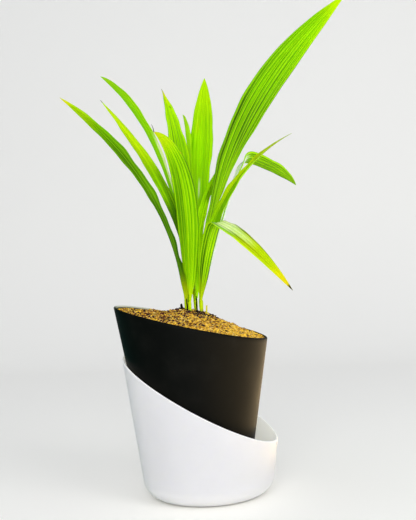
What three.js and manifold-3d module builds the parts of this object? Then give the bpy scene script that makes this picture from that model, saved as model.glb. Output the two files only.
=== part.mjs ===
// Young fan palm in its pots: a clump of six short shoots with undivided pleated leaves, in a black
// grow pot of coir that stands inside a white outer pot, both cut off on a slant.
// Millimetres, +Z up. The origin is the centre of the outer pot's flat underside, and +X points to the
// low side of the slanted rims.
import * as THREE from "three";
import { mergeVertices } from "three/addons/utils/BufferGeometryUtils.js";
import Module from "manifold-3d";

const wasm = await Module();
wasm.setup();

// Clearance between pieces that rest on or pass close to each other
const GAP = 0.3;

// Both pots are cones round the axis at x, whose radius is given at the origin's level and grows by
// flare for each millimetre up. The rim is cut off along the plane z = rimHeight - rimFall * x.
const OUTER_POT = {
  x: 0,
  radius: 46.1,
  flare: 0.135,
  wall: 1.3,
  bottom: 0,
  floor: 2,
  baseRound: 14,
  rimHeight: 67.3,
  rimFall: 0.579,
};
const INNER_POT = {
  x: -6,
  radius: 33.8,
  flare: 0.18,
  wall: 1.8,
  bottom: 12,
  floor: 1.8,
  baseRound: 5,
  rimHeight: 122.6,
  rimFall: 0.256,
};
const POT_SIDES = 52;
const ROUND_STEPS = 6;
// Side of the block that takes away all of a pot that is above its slanted rim
const RIM_BLOCK = 400;

// Three feet hold the inner pot above the water in the outer one, which it takes up by its drains
const FEET = { count: 3, radius: 4, ring: 23.5, sides: 16 };
const DRAINS = { count: 6, radius: 1.5, ring: 12, sides: 10 };

// The coir fills the inner pot to just below its rim and is heaped up in the middle, with soft lumps.
// tiltX and tiltY are how much higher the heap is towards +X and +Y, as shares of its height.
const SOIL = {
  belowRim: 0.8,
  heap: 8.8,
  heapPower: 2.5,
  tiltX: 0.3,
  tiltY: -0.4,
  lump: 0.7,
  lumpAlongX: 7,
  lumpAlongY: 5.2,
  lumpShift: 0.4,
  footChamfer: 4,
  rings: 8,
  sides: 36,
};

// Each shoot is a short stem from a flat cut in the soil up to the flat top that its leaves stand on
const SHOOT = { footRadius: 2.3, topRadius: 3.1, depth: 1.5, sides: 14 };
const SHOOTS = {
  left: { x: -10.8, y: -2.6, top: 141 },
  front: { x: -6.2, y: -9.8, top: 139.5 },
  centre: { x: -4.6, y: 1.6, top: 141 },
  right: { x: 0.6, y: -3.4, top: 140 },
  rear_right: { x: -1.2, y: 7.8, top: 141 },
  rear_left: { x: -11.2, y: 5.4, top: 141.5 },
};

// Withered sheaths and stalks, and one cut stalk, that stick up out of the soil beside the shoots
const STUB = { depth: 1.2, tipShare: 0.6, sides: 8 };
const STUBS = {
  dead_sheath_left: { x: -12.7, y: -7.1, height: 4.5, radius: 0.9, color: 0x1d1a17 },
  dead_sheath_front: { x: -9.9, y: -7.3, height: 8.5, radius: 0.7, color: 0x2a1d14 },
  dead_stalk_right: { x: -1.6, y: -7.6, height: 12, radius: 0.6, color: 0x26201a },
  cut_stalk: { x: 4.2, y: -1.6, height: 6, radius: 0.8, color: 0xc9b52e },
};

// What all the leaves share: the stalk's width, how bluntly a blade ends, the fold of its two halves
// towards the upper face, the depth of its pleats where half the blade is at least pleatHalf wide,
// and its thickness, which is full from thickFrom to thickTo of its length and least at its ends
const LEAF = {
  stalk: 2.6,
  taper: 0.85,
  fold: 12,
  pleats: 3,
  pleatDepth: 0.35,
  pleatHalf: 5.2,
  leastThickness: 2,
  lengthPerThickness: 95,
  footThickness: 0.7,
  thickFrom: 0.3,
  thickTo: 0.92,
  tipThickness: 0.4,
  tipHalf: 0.35,
  spread: 1.8,
  steps: 100,
  stations: 20,
  kinkedStations: 60,
};

// Each leaf stands on its shoot's top, off the middle on the side that spot gives. Angles are degrees.
// lean and bend turn it away from the vertical, the bend growing as the hook power of the way along it.
// azimuth and swing are its heading from +X, and roll and twist turn the blade about its own length.
// kink folds it over at kinkAt of the way, over kinkSpan of it, about a crease that slant turns from
// straight across the blade. width is the widest, at peak.
const LEAVES = {
  leaf_01: {
    shoot: "left", spot: 215, azimuth: 206, swing: 8,
    length: 176, lean: 0, bend: 54, hook: 0.8,
    width: 20.5, peak: 0.4, roll: -20, twist: 40, color: 0x4f9410,
  },
  leaf_02: {
    shoot: "left", spot: 50, azimuth: 176, swing: 35,
    length: 167, lean: -10.5, bend: 54, hook: 0.7,
    width: 9.5, peak: 0.7, roll: 65, twist: 80, color: 0x9bd911,
  },
  leaf_03: {
    shoot: "rear_left", spot: 190, azimuth: 157, swing: -12,
    length: 223, lean: -3.5, bend: 59.5, hook: 1.1,
    width: 11, peak: 0.7, roll: 65, twist: 0, color: 0x5cc40d,
  },
  leaf_04: {
    shoot: "centre", spot: 215, azimuth: 129, swing: 3,
    length: 175, lean: 4, bend: 26, hook: 2.2,
    width: 18, peak: 0.7, roll: -55, twist: 95, color: 0x86cf0e,
  },
  leaf_05: {
    shoot: "front", spot: 260, spread: 0, azimuth: 268, swing: -22,
    length: 136, lean: -5, bend: 87.5, hook: 3,
    width: 17, peak: 0.52, roll: -20, twist: 75, color: 0x72c20c,
  },
  leaf_06: {
    shoot: "centre", spot: 75, azimuth: 88, swing: -3,
    length: 194, lean: 22.5, bend: -10, hook: 0.9,
    width: 25.5, peak: 0.52, roll: -80, twist: 95, color: 0x86c90d,
  },
  leaf_07: {
    shoot: "rear_left", spot: 20, azimuth: 82, swing: 30,
    length: 174, lean: 8, bend: 48, hook: 2.5,
    width: 14.5, peak: 0.52, roll: 95, twist: 10, color: 0x5aa80e,
  },
  leaf_08: {
    shoot: "rear_right", spot: 180, azimuth: 37, swing: -35,
    length: 273, lean: 9.5, bend: 42.5, hook: 1.2,
    width: 26, peak: 0.54, roll: -5, twist: -95, color: 0x5cb80c,
  },
  leaf_09: {
    shoot: "right", spot: 70, azimuth: -1, swing: -6,
    length: 145, lean: 6.5, bend: 62, hook: 1.4,
    width: 14, peak: 0.5, roll: 70, twist: -55, color: 0x7d9a28,
  },
  leaf_10: {
    shoot: "rear_right", spot: 300, azimuth: 45, swing: 35,
    length: 187, lean: 20.5, bend: 45, hook: 1.9,
    kink: 64, kinkAt: 0.69, kinkSpan: 0.07, slant: 6,
    width: 18.5, peak: 0.7, roll: -50, twist: 20, color: 0x5fae10,
  },
  leaf_11: {
    shoot: "right", spot: 290, azimuth: -54, swing: 14,
    length: 150, lean: 15, bend: 83, hook: 1.3,
    kink: 66, kinkAt: 0.4, kinkSpan: 0.09, slant: 16,
    width: 11, peak: 0.46, roll: -55, twist: 95, color: 0xa4cc10,
  },
  leaf_12: {
    shoot: "centre", spot: 330, azimuth: 77, swing: -19,
    length: 115, lean: -13.5, bend: 57, hook: 0.7,
    width: 10.5, peak: 0.4, roll: 85, twist: 0, color: 0x4f9a10,
  },
};

const plantMaterial = (color) =>
  new THREE.MeshStandardMaterial({ color, roughness: 0.5, metalness: 0 });
const MATERIALS = {
  outerPot: new THREE.MeshStandardMaterial({ color: 0xeef0f4, roughness: 0.35, metalness: 0 }),
  innerPot: new THREE.MeshStandardMaterial({ color: 0x211f1e, roughness: 0.45, metalness: 0 }),
  soil: new THREE.MeshStandardMaterial({ color: 0x8a5a24, roughness: 0.95, metalness: 0 }),
  shoot: plantMaterial(0x9ab82a),
};

const radians = THREE.MathUtils.degToRad;

// Closed geometry as a solid that can be joined and cut
function solidOf(geometry) {
  const bare = geometry.clone();
  bare.deleteAttribute("normal");
  bare.deleteAttribute("uv");
  const merged = mergeVertices(bare, 1e-4);
  const triVerts = new Uint32Array(merged.index.array);
  const vertProperties = merged.attributes.position.array;
  return new wasm.Manifold(new wasm.Mesh({ numProp: 3, vertProperties, triVerts }));
}

// A joined or cut solid as geometry
function geometryOf(solid) {
  const mesh = solid.getMesh();
  const geometry = new THREE.BufferGeometry();
  geometry.setAttribute("position", new THREE.BufferAttribute(mesh.vertProperties, 3));
  geometry.setIndex(new THREE.BufferAttribute(mesh.triVerts, 1));
  geometry.computeVertexNormals();
  return geometry;
}

function meshOf(name, geometry, material) {
  const mesh = new THREE.Mesh(geometry, material);
  mesh.name = name;
  return mesh;
}

// A round peg on the Z axis, from z = low up to z = high
function peg(lowRadius, highRadius, low, high, sides) {
  const geometry = new THREE.CylinderGeometry(highRadius, lowRadius, high - low, sides);
  return geometry.rotateX(Math.PI / 2).translate(0, 0, (low + high) / 2);
}

// The pot's radius at a height, moved inwards by inset, measured square to the wall
function potRadius(pot, z, inset = 0) {
  return pot.radius + pot.flare * z - inset * Math.hypot(1, pot.flare);
}

function rimHeight(pot, x) {
  return pot.rimHeight - pot.rimFall * x;
}

// The height of the rim's highest point, where the slanted cut meets the wall's outline
function rimTop(pot) {
  const aboveAxis = rimHeight(pot, pot.x - pot.radius);
  return aboveAxis / (1 - pot.rimFall * pot.flare);
}

// The outline of one side of a pot's wall: in along the floor, round the base and up to the top
function wallProfile(pot, floor, inset, top) {
  const round = pot.baseRound - inset;
  const middle = potRadius(pot, floor + round, inset) - round * Math.hypot(1, pot.flare);
  const last = -Math.atan(pot.flare);
  const points = [new THREE.Vector2(0, floor)];
  for (let step = 0; step <= ROUND_STEPS; step++) {
    const angle = THREE.MathUtils.lerp(-Math.PI / 2, last, step / ROUND_STEPS);
    const up = floor + round * (1 + Math.sin(angle));
    points.push(new THREE.Vector2(middle + round * Math.cos(angle), up));
  }
  points.push(new THREE.Vector2(potRadius(pot, top, inset), top));
  return points;
}

// A pot's shell, turned as one piece round its own axis and cut off along the slanted rim
function potShell(pot) {
  const highest = rimTop(pot) + pot.wall;
  const outside = wallProfile(pot, pot.bottom, 0, highest);
  const inside = wallProfile(pot, pot.bottom + pot.floor, pot.wall, highest);
  const turned = new THREE.LatheGeometry([...outside, ...inside.reverse()], POT_SIDES);
  const shell = solidOf(turned.rotateX(Math.PI / 2).translate(pot.x, 0, 0));
  const block = new THREE.BoxGeometry(RIM_BLOCK, RIM_BLOCK, RIM_BLOCK);
  block.translate(0, 0, RIM_BLOCK / 2);
  block.rotateY(Math.atan(pot.rimFall)).translate(0, 0, pot.rimHeight);
  return shell.subtract(solidOf(block));
}

// Pegs spaced evenly on a ring round the inner pot's axis
function pegRing({ count, radius, ring, sides }, low, high) {
  const pegs = [];
  for (let index = 0; index < count; index++) {
    const angle = (2 * Math.PI * index) / count;
    const one = peg(radius, radius, low, high, sides);
    pegs.push(one.translate(INNER_POT.x + ring * Math.cos(angle), ring * Math.sin(angle), 0));
  }
  return pegs;
}

function innerPot() {
  const { bottom, floor } = INNER_POT;
  let pot = potShell(INNER_POT);
  for (const drain of pegRing(DRAINS, bottom - floor, bottom + 2 * floor))
    pot = pot.subtract(solidOf(drain));
  return geometryOf(pot);
}

// The feet stand on the outer pot's floor and reach up to the inner pot's base
function footPegs() {
  return pegRing(FEET, OUTER_POT.bottom + OUTER_POT.floor + GAP, INNER_POT.bottom - GAP);
}

// The soil's radius in the heading angle, where its edge meets the inner pot's wall
function soilEdge(angle) {
  const { x, flare, rimFall } = INNER_POT;
  const level = rimHeight(INNER_POT, x) - SOIL.belowRim;
  const radius = potRadius(INNER_POT, level, INNER_POT.wall + GAP);
  return radius / (1 + flare * rimFall * Math.cos(angle));
}

// The height of the soil's surface: the rim's slope, the heap and the lumps, which die away to the edge
function soilTop(x, y) {
  const edge = soilEdge(Math.atan2(y, x - INNER_POT.x));
  const outX = (x - INNER_POT.x) / edge;
  const outY = y / edge;
  const inward = Math.max(0, 1 - outX * outX - outY * outY);
  const heap = SOIL.heap * inward ** SOIL.heapPower * (1 + SOIL.tiltX * outX + SOIL.tiltY * outY);
  const lumpX = Math.cos(x / SOIL.lumpAlongX);
  const lumpY = Math.cos(y / SOIL.lumpAlongY - SOIL.lumpShift);
  const lumps = SOIL.lump * inward * lumpX * lumpY;
  return rimHeight(INNER_POT, x) - SOIL.belowRim + heap + lumps;
}

// Rings of points from the soil's middle out to its edge, then down the wall to its chamfered foot
function soilBody() {
  const bottom = INNER_POT.bottom + INNER_POT.floor + GAP;
  const vertices = [INNER_POT.x, 0, soilTop(INNER_POT.x, 0)];
  const addRing = (place) => {
    for (let side = 0; side < SOIL.sides; side++)
      vertices.push(...place((2 * Math.PI * side) / SOIL.sides));
  };
  const around = (angle, radius, height) => {
    const x = INNER_POT.x + radius * Math.cos(angle);
    const y = radius * Math.sin(angle);
    return [x, y, height ?? soilTop(x, y)];
  };
  for (let ring = 1; ring <= SOIL.rings; ring++)
    addRing((angle) => around(angle, (soilEdge(angle) * ring) / SOIL.rings));
  const inset = INNER_POT.wall + GAP;
  const shoulder = bottom + SOIL.footChamfer;
  addRing((angle) => around(angle, potRadius(INNER_POT, shoulder, inset), shoulder));
  const footRadius = potRadius(INNER_POT, bottom, inset) - SOIL.footChamfer;
  addRing((angle) => around(angle, footRadius, bottom));
  vertices.push(INNER_POT.x, 0, bottom);
  return ringedSolid(vertices, SOIL.rings + 2, SOIL.sides);
}

// A closed solid from a top point, rings of points below or outside one another, and a bottom point
function ringedSolid(vertices, rings, sides) {
  const index = [];
  const last = 1 + rings * sides;
  for (let side = 0; side < sides; side++) {
    const next = (side + 1) % sides;
    index.push(0, 1 + side, 1 + next);
    for (let ring = 0; ring < rings - 1; ring++) {
      const upper = 1 + ring * sides;
      const lower = upper + sides;
      index.push(upper + side, lower + side, lower + next);
      index.push(upper + side, lower + next, upper + next);
    }
    index.push(last - sides + next, last - sides + side, last);
  }
  const geometry = new THREE.BufferGeometry();
  geometry.setAttribute("position", new THREE.Float32BufferAttribute(vertices, 3));
  geometry.setIndex(index);
  return solidOf(geometry);
}

// A shoot or stub at its place, standing in the soil. extra makes it larger all round, for its socket.
function stem(place, footRadius, topRadius, depth, top, sides, extra = 0) {
  const foot = soilTop(place.x, place.y) - depth - extra;
  const geometry = peg(footRadius + extra, topRadius + extra, foot, top + extra, sides);
  return geometry.translate(place.x, place.y, 0);
}

function shootStem(shoot, extra = 0) {
  const { footRadius, topRadius, depth, sides } = SHOOT;
  return stem(shoot, footRadius, topRadius, depth, shoot.top - GAP, sides, extra);
}

function stubStem(stub, extra = 0) {
  const top = soilTop(stub.x, stub.y) + stub.height;
  return stem(stub, stub.radius, stub.radius * STUB.tipShare, STUB.depth, top, STUB.sides, extra);
}

function soil() {
  let body = soilBody();
  for (const shoot of Object.values(SHOOTS)) body = body.subtract(solidOf(shootStem(shoot, GAP)));
  for (const stub of Object.values(STUBS)) body = body.subtract(solidOf(stubStem(stub, GAP)));
  return geometryOf(body);
}

// The way the leaf, its width and its upper face point at a share of its length, before any kink
function unkinkedFrame(leaf, share) {
  const tilt = radians(leaf.lean + leaf.bend * share ** leaf.hook);
  const heading = radians(leaf.azimuth + leaf.swing * share);
  const level = Math.sin(tilt);
  const forward = new THREE.Vector3(level * Math.cos(heading), level * Math.sin(heading), Math.cos(tilt));
  const side = new THREE.Vector3(-Math.sin(heading), Math.cos(heading), 0);
  const face = forward.clone().cross(side);
  const turn = radians(leaf.roll + leaf.twist * share);
  side.applyAxisAngle(forward, turn);
  face.applyAxisAngle(forward, turn);
  return { forward, side, face };
}

// The same with the kink, which turns all three about its crease as the leaf passes kinkAt
function leafFrame(leaf, share) {
  const frame = unkinkedFrame(leaf, share);
  if (!leaf.kink) return frame;
  const { forward, side } = unkinkedFrame(leaf, leaf.kinkAt);
  const slant = radians(leaf.slant);
  const crease = side.multiplyScalar(Math.cos(slant)).addScaledVector(forward, Math.sin(slant));
  const along = THREE.MathUtils.clamp((share - leaf.kinkAt) / leaf.kinkSpan + 0.5, 0, 1);
  const turned = radians(leaf.kink) * along * along * (3 - 2 * along);
  for (const direction of Object.values(frame)) direction.applyAxisAngle(crease, turned);
  return frame;
}

// Points along the leaf's middle line, from its foot, where each step follows the direction halfway on
function leafLine(leaf) {
  const shoot = SHOOTS[leaf.shoot];
  const spot = radians(leaf.spot);
  const offset = leaf.spread ?? LEAF.spread;
  const x = shoot.x + offset * Math.cos(spot);
  const y = shoot.y + offset * Math.sin(spot);
  const points = [new THREE.Vector3(x, y, shoot.top)];
  for (let step = 0; step < LEAF.steps; step++) {
    const { forward } = leafFrame(leaf, (step + 0.5) / LEAF.steps);
    points.push(points[step].clone().addScaledVector(forward, leaf.length / LEAF.steps));
  }
  return points;
}

// Half the blade's width: the stalk, narrowing as a square root, and the blade's spindle shape on it
function leafHalfWidth(leaf, share) {
  const stalkHalf = (at) => (LEAF.stalk / 2) * Math.sqrt(1 - at);
  const out = (LEAF.taper * leaf.peak) / (1 - leaf.peak);
  const spindle = (share / leaf.peak) ** out * ((1 - share) / (1 - leaf.peak)) ** LEAF.taper;
  const bladeHalf = (leaf.width / 2 - stalkHalf(leaf.peak)) * spindle;
  return Math.max(LEAF.tipHalf, stalkHalf(share) + bladeHalf);
}

function leafThickness(leaf, share) {
  const most = Math.max(LEAF.leastThickness, leaf.length / LEAF.lengthPerThickness);
  const fromFoot = Math.min(1, share / LEAF.thickFrom);
  const fromTip = Math.min(1, (1 - share) / (1 - LEAF.thickTo));
  const atFoot = THREE.MathUtils.lerp(LEAF.footThickness, 1, fromFoot);
  const atTip = THREE.MathUtils.lerp(LEAF.tipThickness, 1, fromTip);
  return most * atFoot * atTip;
}

// One cross-section: the pleated upper face from edge to edge, then the lower face back again.
// The faces meet at the thin edges, and the section at the foot is cut level with the shoot's top.
function leafSection(leaf, line, share) {
  const at = share * LEAF.steps;
  const step = Math.min(LEAF.steps - 1, Math.floor(at));
  const middle = line[step].clone().lerp(line[step + 1], at - step);
  const { forward, side, face } = leafFrame(leaf, share);
  const half = leafHalfWidth(leaf, share);
  const thick = leafThickness(leaf, share) / 2;
  const fold = radians(LEAF.fold);
  const pleat = LEAF.pleatDepth * Math.min(1, half / LEAF.pleatHalf);
  const columns = 2 * LEAF.pleats;
  const place = (column, way) => {
    const across = (2 * column) / columns - 1;
    const ridge = column % 2 ? pleat : -pleat;
    const raised = half * Math.abs(across) * Math.sin(fold) + ridge;
    const swell = way * thick * Math.sqrt(1 - across * across);
    const point = middle.clone().addScaledVector(side, half * across * Math.cos(fold));
    return point.addScaledVector(face, raised + swell);
  };
  const points = [];
  for (let column = 0; column <= columns; column++) points.push(place(column, 1));
  for (let column = columns - 1; column > 0; column--) points.push(place(column, -1));
  if (share === 0)
    for (const point of points)
      point.addScaledVector(forward, (line[0].z - point.z) / forward.z);
  return points;
}

// The blade between two shares of the leaf's length, as sections joined into one closed solid
function leafGeometry(leaf, from, to) {
  const line = leafLine(leaf);
  const wholeStations = leaf.kink ? LEAF.kinkedStations : LEAF.stations;
  const stations = Math.ceil(wholeStations * (to - from));
  const around = 4 * LEAF.pleats;
  const vertices = [];
  for (let station = 0; station <= stations; station++) {
    const share = THREE.MathUtils.lerp(from, to, station / stations);
    for (const point of leafSection(leaf, line, share)) vertices.push(...point);
  }
  const index = [];
  for (let station = 0; station < stations; station++)
    for (let edge = 0; edge < around; edge++) {
      const a = station * around + edge;
      const b = station * around + ((edge + 1) % around);
      index.push(a, b + around, b, a, a + around, b + around);
    }
  const last = stations * around;
  for (let edge = 0; edge < around / 2; edge++) {
    const upper = edge;
    const nextUpper = edge + 1;
    const lower = (around - edge) % around;
    const nextLower = around - edge - 1;
    const halves = [[upper, nextUpper, nextLower], [upper, nextLower, lower]];
    for (const [a, b, c] of halves)
      if (a !== b && b !== c && a !== c) {
        index.push(a, b, c);
        index.push(last + a, last + c, last + b);
      }
  }
  const geometry = new THREE.BufferGeometry();
  geometry.setAttribute("position", new THREE.Float32BufferAttribute(vertices, 3));
  geometry.setIndex(index);
  geometry.computeVertexNormals();
  return geometry;
}

// A leaf that bends over sharply is two pieces, which meet at the bend
function leafMeshes(name, leaf) {
  const material = plantMaterial(leaf.color);
  if (!leaf.kink) return [meshOf(name, leafGeometry(leaf, 0, 1), material)];
  const slit = GAP / leaf.length / 2;
  return [
    meshOf(name + "_stem", leafGeometry(leaf, 0, leaf.kinkAt - slit), material),
    meshOf(name + "_blade", leafGeometry(leaf, leaf.kinkAt + slit, 1), material),
  ];
}

const pots = new THREE.Group();
pots.add(meshOf("outer_pot", geometryOf(potShell(OUTER_POT)), MATERIALS.outerPot));
pots.add(meshOf("inner_pot", innerPot(), MATERIALS.innerPot));
for (const [index, foot] of footPegs().entries())
  pots.add(meshOf("inner_pot_foot_" + (index + 1), foot, MATERIALS.innerPot));
pots.add(meshOf("soil", soil(), MATERIALS.soil));

const plant = new THREE.Group();
for (const [name, shoot] of Object.entries(SHOOTS))
  plant.add(meshOf("shoot_" + name, shootStem(shoot), MATERIALS.shoot));
for (const [name, leaf] of Object.entries(LEAVES)) plant.add(...leafMeshes(name, leaf));
for (const [name, stub] of Object.entries(STUBS))
  plant.add(meshOf(name, stubStem(stub), plantMaterial(stub.color)));

const pottedPalm = new THREE.Group();
pottedPalm.add(pots, plant);

export default pottedPalm;
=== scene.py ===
"""Young fan palm in its pots: pleated strap leaves on six short shoots, in a black grow pot of coir that
stands inside a white outer pot, both cut off on a slant. Metres, +Z up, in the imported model's frame.

The leaves, pots and soil repeat the rules of the part's source, with finer surfaces."""

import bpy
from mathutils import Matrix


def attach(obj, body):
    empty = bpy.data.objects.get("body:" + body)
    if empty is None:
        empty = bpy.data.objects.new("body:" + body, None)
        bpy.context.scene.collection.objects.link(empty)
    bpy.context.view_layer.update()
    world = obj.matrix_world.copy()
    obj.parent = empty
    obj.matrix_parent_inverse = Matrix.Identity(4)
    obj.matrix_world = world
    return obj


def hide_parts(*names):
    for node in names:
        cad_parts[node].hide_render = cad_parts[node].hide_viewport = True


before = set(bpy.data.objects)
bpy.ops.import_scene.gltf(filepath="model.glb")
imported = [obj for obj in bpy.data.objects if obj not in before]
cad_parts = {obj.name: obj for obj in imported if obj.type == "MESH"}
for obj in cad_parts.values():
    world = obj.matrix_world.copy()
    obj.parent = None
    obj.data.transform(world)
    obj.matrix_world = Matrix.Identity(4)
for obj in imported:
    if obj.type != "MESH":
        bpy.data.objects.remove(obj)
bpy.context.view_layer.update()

import bpy
import numpy as np
from mathutils import Matrix, Vector

bl_info = {
    "name": "Potted young fan palm",
    "version": (1, 0, 0),
    "blender": (4, 5, 0),
    "location": "3D View > Sidebar > Palm",
    "description": "Builds the leaves, shoots, coir, pots and studio of a potted young fan palm",
    "category": "Add Mesh",
}

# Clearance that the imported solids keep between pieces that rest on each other
GAP = 0.0003

# Both pots are cones round the axis at x, whose radius is given at the origin's level and grows by
# flare for each metre up. The rim is cut off along the plane z = rim_height - rim_fall * x.
OUTER_POT = {
    "x": 0.0, "radius": 0.0461, "flare": 0.135, "wall": 0.0013, "bottom": 0.0, "floor": 0.002,
    "base_round": 0.014, "rim_height": 0.0673, "rim_fall": 0.579,
}
INNER_POT = {
    "x": -0.006, "radius": 0.0338, "flare": 0.18, "wall": 0.0018, "bottom": 0.012, "floor": 0.0018,
    "base_round": 0.005, "rim_height": 0.1226, "rim_fall": 0.256,
}
FEET = {"count": 3, "radius": 0.004, "ring": 0.0235, "bevel": 0.0006}
DRAINS = {"count": 6, "radius": 0.0015, "ring": 0.012}

# The coir fills the inner pot to just below its rim and is heaped up in the middle, with soft lumps.
# tilt_x and tilt_y are how much higher the heap is towards +X and +Y, as shares of its height.
SOIL = {
    "below_rim": 0.0008, "heap": 0.0088, "heap_power": 2.5, "tilt_x": 0.3, "tilt_y": -0.4,
    "lump": 0.0007, "lump_along_x": 0.007, "lump_along_y": 0.0052, "lump_shift": 0.4,
    "foot_chamfer": 0.004,
}

# Where the coir has sunk beside the shoots: a hollow across the pot at x, and how wide and deep it is
HOLLOW = {"x": -0.027, "reach": 0.009, "depth": 0.0024}

# How far the coir has sunk towards the left rim, and the places on x between which it does so
SUNK = {"depth": 0.0013, "start": -0.03, "end": -0.052}

# The sheaths round the shoots: their radii at foot and mouth, their wall, how far the mouth stays below
# the shoot's top and how far it slants, the number and height of their ribs, and the height of their
# overlapping edge and the share of a turn by which it winds
SHEATH = {
    "foot": 0.00095, "mouth": 0.00118, "wall": 0.0002, "below_top": 0.0004, "slant": 0.004,
    "ribs": 9, "rib": 0.00004, "edge": 0.0001, "winding": 0.35,
}

# Places and tops of the six shoots
SHOOTS = {
    "left": {"x": -0.0108, "y": -0.0026, "top": 0.141},
    "front": {"x": -0.0062, "y": -0.0098, "top": 0.1395},
    "centre": {"x": -0.0046, "y": 0.0016, "top": 0.141},
    "right": {"x": 0.0006, "y": -0.0034, "top": 0.14},
    "rear_right": {"x": -0.0012, "y": 0.0078, "top": 0.141},
    "rear_left": {"x": -0.0112, "y": 0.0054, "top": 0.1415},
}

# What all the leaves share: the stalk's width, how bluntly a blade ends, the fold of its two halves
# towards the upper face and how much more they fold at the foot, in degrees, how soft the fold is as a
# share of half the width, how far from its shoot's axis a leaf stands, the length over which it parts
# from its shoot, the share of the way to that axis by which its foot draws in, the share of its width
# that it has there, half its width at the tip, half its thickness, how far its margins wave, and the
# depth of its pleats where half the blade is at least pleat_half wide
LEAF = {
    "stalk": 0.0026, "taper": 0.85, "fold": 12.0, "foot_fold": 40.0, "soft_fold": 0.03,
    "spread": 0.0018, "parting": 0.016, "draw_in": 0.7, "neck": 0.74, "tip_half": 0.00018,
    "half_thick": 0.00024, "flutter": 0.0005, "pleat_depth": 0.0004, "pleat_half": 0.0052,
}

# How deep the leaves' stalks, and the sheaths and stubs, stand in the coir
SUNK_STALK = 0.001
SUNK_STUB = 0.0012

# Each leaf stands on its shoot's top, off the middle on the side that spot gives. Angles are degrees.
# lean and bend turn it away from the vertical, the bend growing as the hook power of the way along it.
# azimuth and swing are its heading from +X, and roll and twist turn the blade about its own length.
# kink folds it over at kink_at of the way, over kink_span of it, about a crease that slant turns from
# straight across the blade. width is the widest, at peak.
LEAVES = {
    "leaf_01": {
        "shoot": "left", "spot": 215, "azimuth": 206, "swing": 8,
        "length": 0.176, "lean": 0, "bend": 54, "hook": 0.8,
        "width": 0.0205, "peak": 0.4, "roll": -20, "twist": 40,
    },
    "leaf_02": {
        "shoot": "left", "spot": 50, "azimuth": 176, "swing": 35,
        "length": 0.167, "lean": -10.5, "bend": 54, "hook": 0.7,
        "width": 0.0095, "peak": 0.7, "roll": 65, "twist": 80,
    },
    "leaf_03": {
        "shoot": "rear_left", "spot": 190, "azimuth": 157, "swing": -12,
        "length": 0.223, "lean": -3.5, "bend": 59.5, "hook": 1.1,
        "width": 0.011, "peak": 0.7, "roll": 65, "twist": 0,
    },
    "leaf_04": {
        "shoot": "centre", "spot": 215, "azimuth": 129, "swing": 3,
        "length": 0.175, "lean": 4, "bend": 26, "hook": 2.2,
        "width": 0.018, "peak": 0.7, "roll": -55, "twist": 95,
    },
    "leaf_05": {
        "shoot": "front", "spot": 260, "spread": 0, "azimuth": 268, "swing": -22,
        "length": 0.136, "lean": -5, "bend": 87.5, "hook": 3,
        "width": 0.017, "peak": 0.52, "roll": -20, "twist": 75,
    },
    "leaf_06": {
        "shoot": "centre", "spot": 75, "azimuth": 88, "swing": -3,
        "length": 0.194, "lean": 22.5, "bend": -10, "hook": 0.9,
        "width": 0.0255, "peak": 0.52, "roll": -80, "twist": 95,
    },
    "leaf_07": {
        "shoot": "rear_left", "spot": 20, "azimuth": 82, "swing": 30,
        "length": 0.174, "lean": 8, "bend": 48, "hook": 2.5,
        "width": 0.0145, "peak": 0.52, "roll": 95, "twist": 10,
    },
    "leaf_08": {
        "shoot": "rear_right", "spot": 180, "azimuth": 37, "swing": -35,
        "length": 0.273, "lean": 9.5, "bend": 42.5, "hook": 1.2,
        "width": 0.026, "peak": 0.54, "roll": -5, "twist": -95,
    },
    "leaf_09": {
        "shoot": "right", "spot": 70, "azimuth": -1, "swing": -6,
        "length": 0.145, "lean": 6.5, "bend": 62, "hook": 1.4,
        "width": 0.014, "peak": 0.5, "roll": 70, "twist": -55,
    },
    "leaf_10": {
        "shoot": "rear_right", "spot": 300, "azimuth": 45, "swing": 35,
        "length": 0.187, "lean": 20.5, "bend": 45, "hook": 1.9,
        "kink": 64, "kink_at": 0.69, "kink_span": 0.07, "slant": 6,
        "width": 0.0185, "peak": 0.7, "roll": -50, "twist": 20,
    },
    "leaf_11": {
        "shoot": "right", "spot": 290, "azimuth": -54, "swing": 14,
        "length": 0.15, "lean": 15, "bend": 83, "hook": 1.3,
        "kink": 66, "kink_at": 0.4, "kink_span": 0.09, "slant": 16,
        "width": 0.011, "peak": 0.46, "roll": -55, "twist": 95,
    },
    "leaf_12": {
        "shoot": "centre", "spot": 330, "azimuth": 77, "swing": -19,
        "length": 0.115, "lean": -13.5, "bend": 57, "hook": 0.7,
        "width": 0.0105, "peak": 0.4, "roll": 85, "twist": 0,
    },
}

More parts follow.
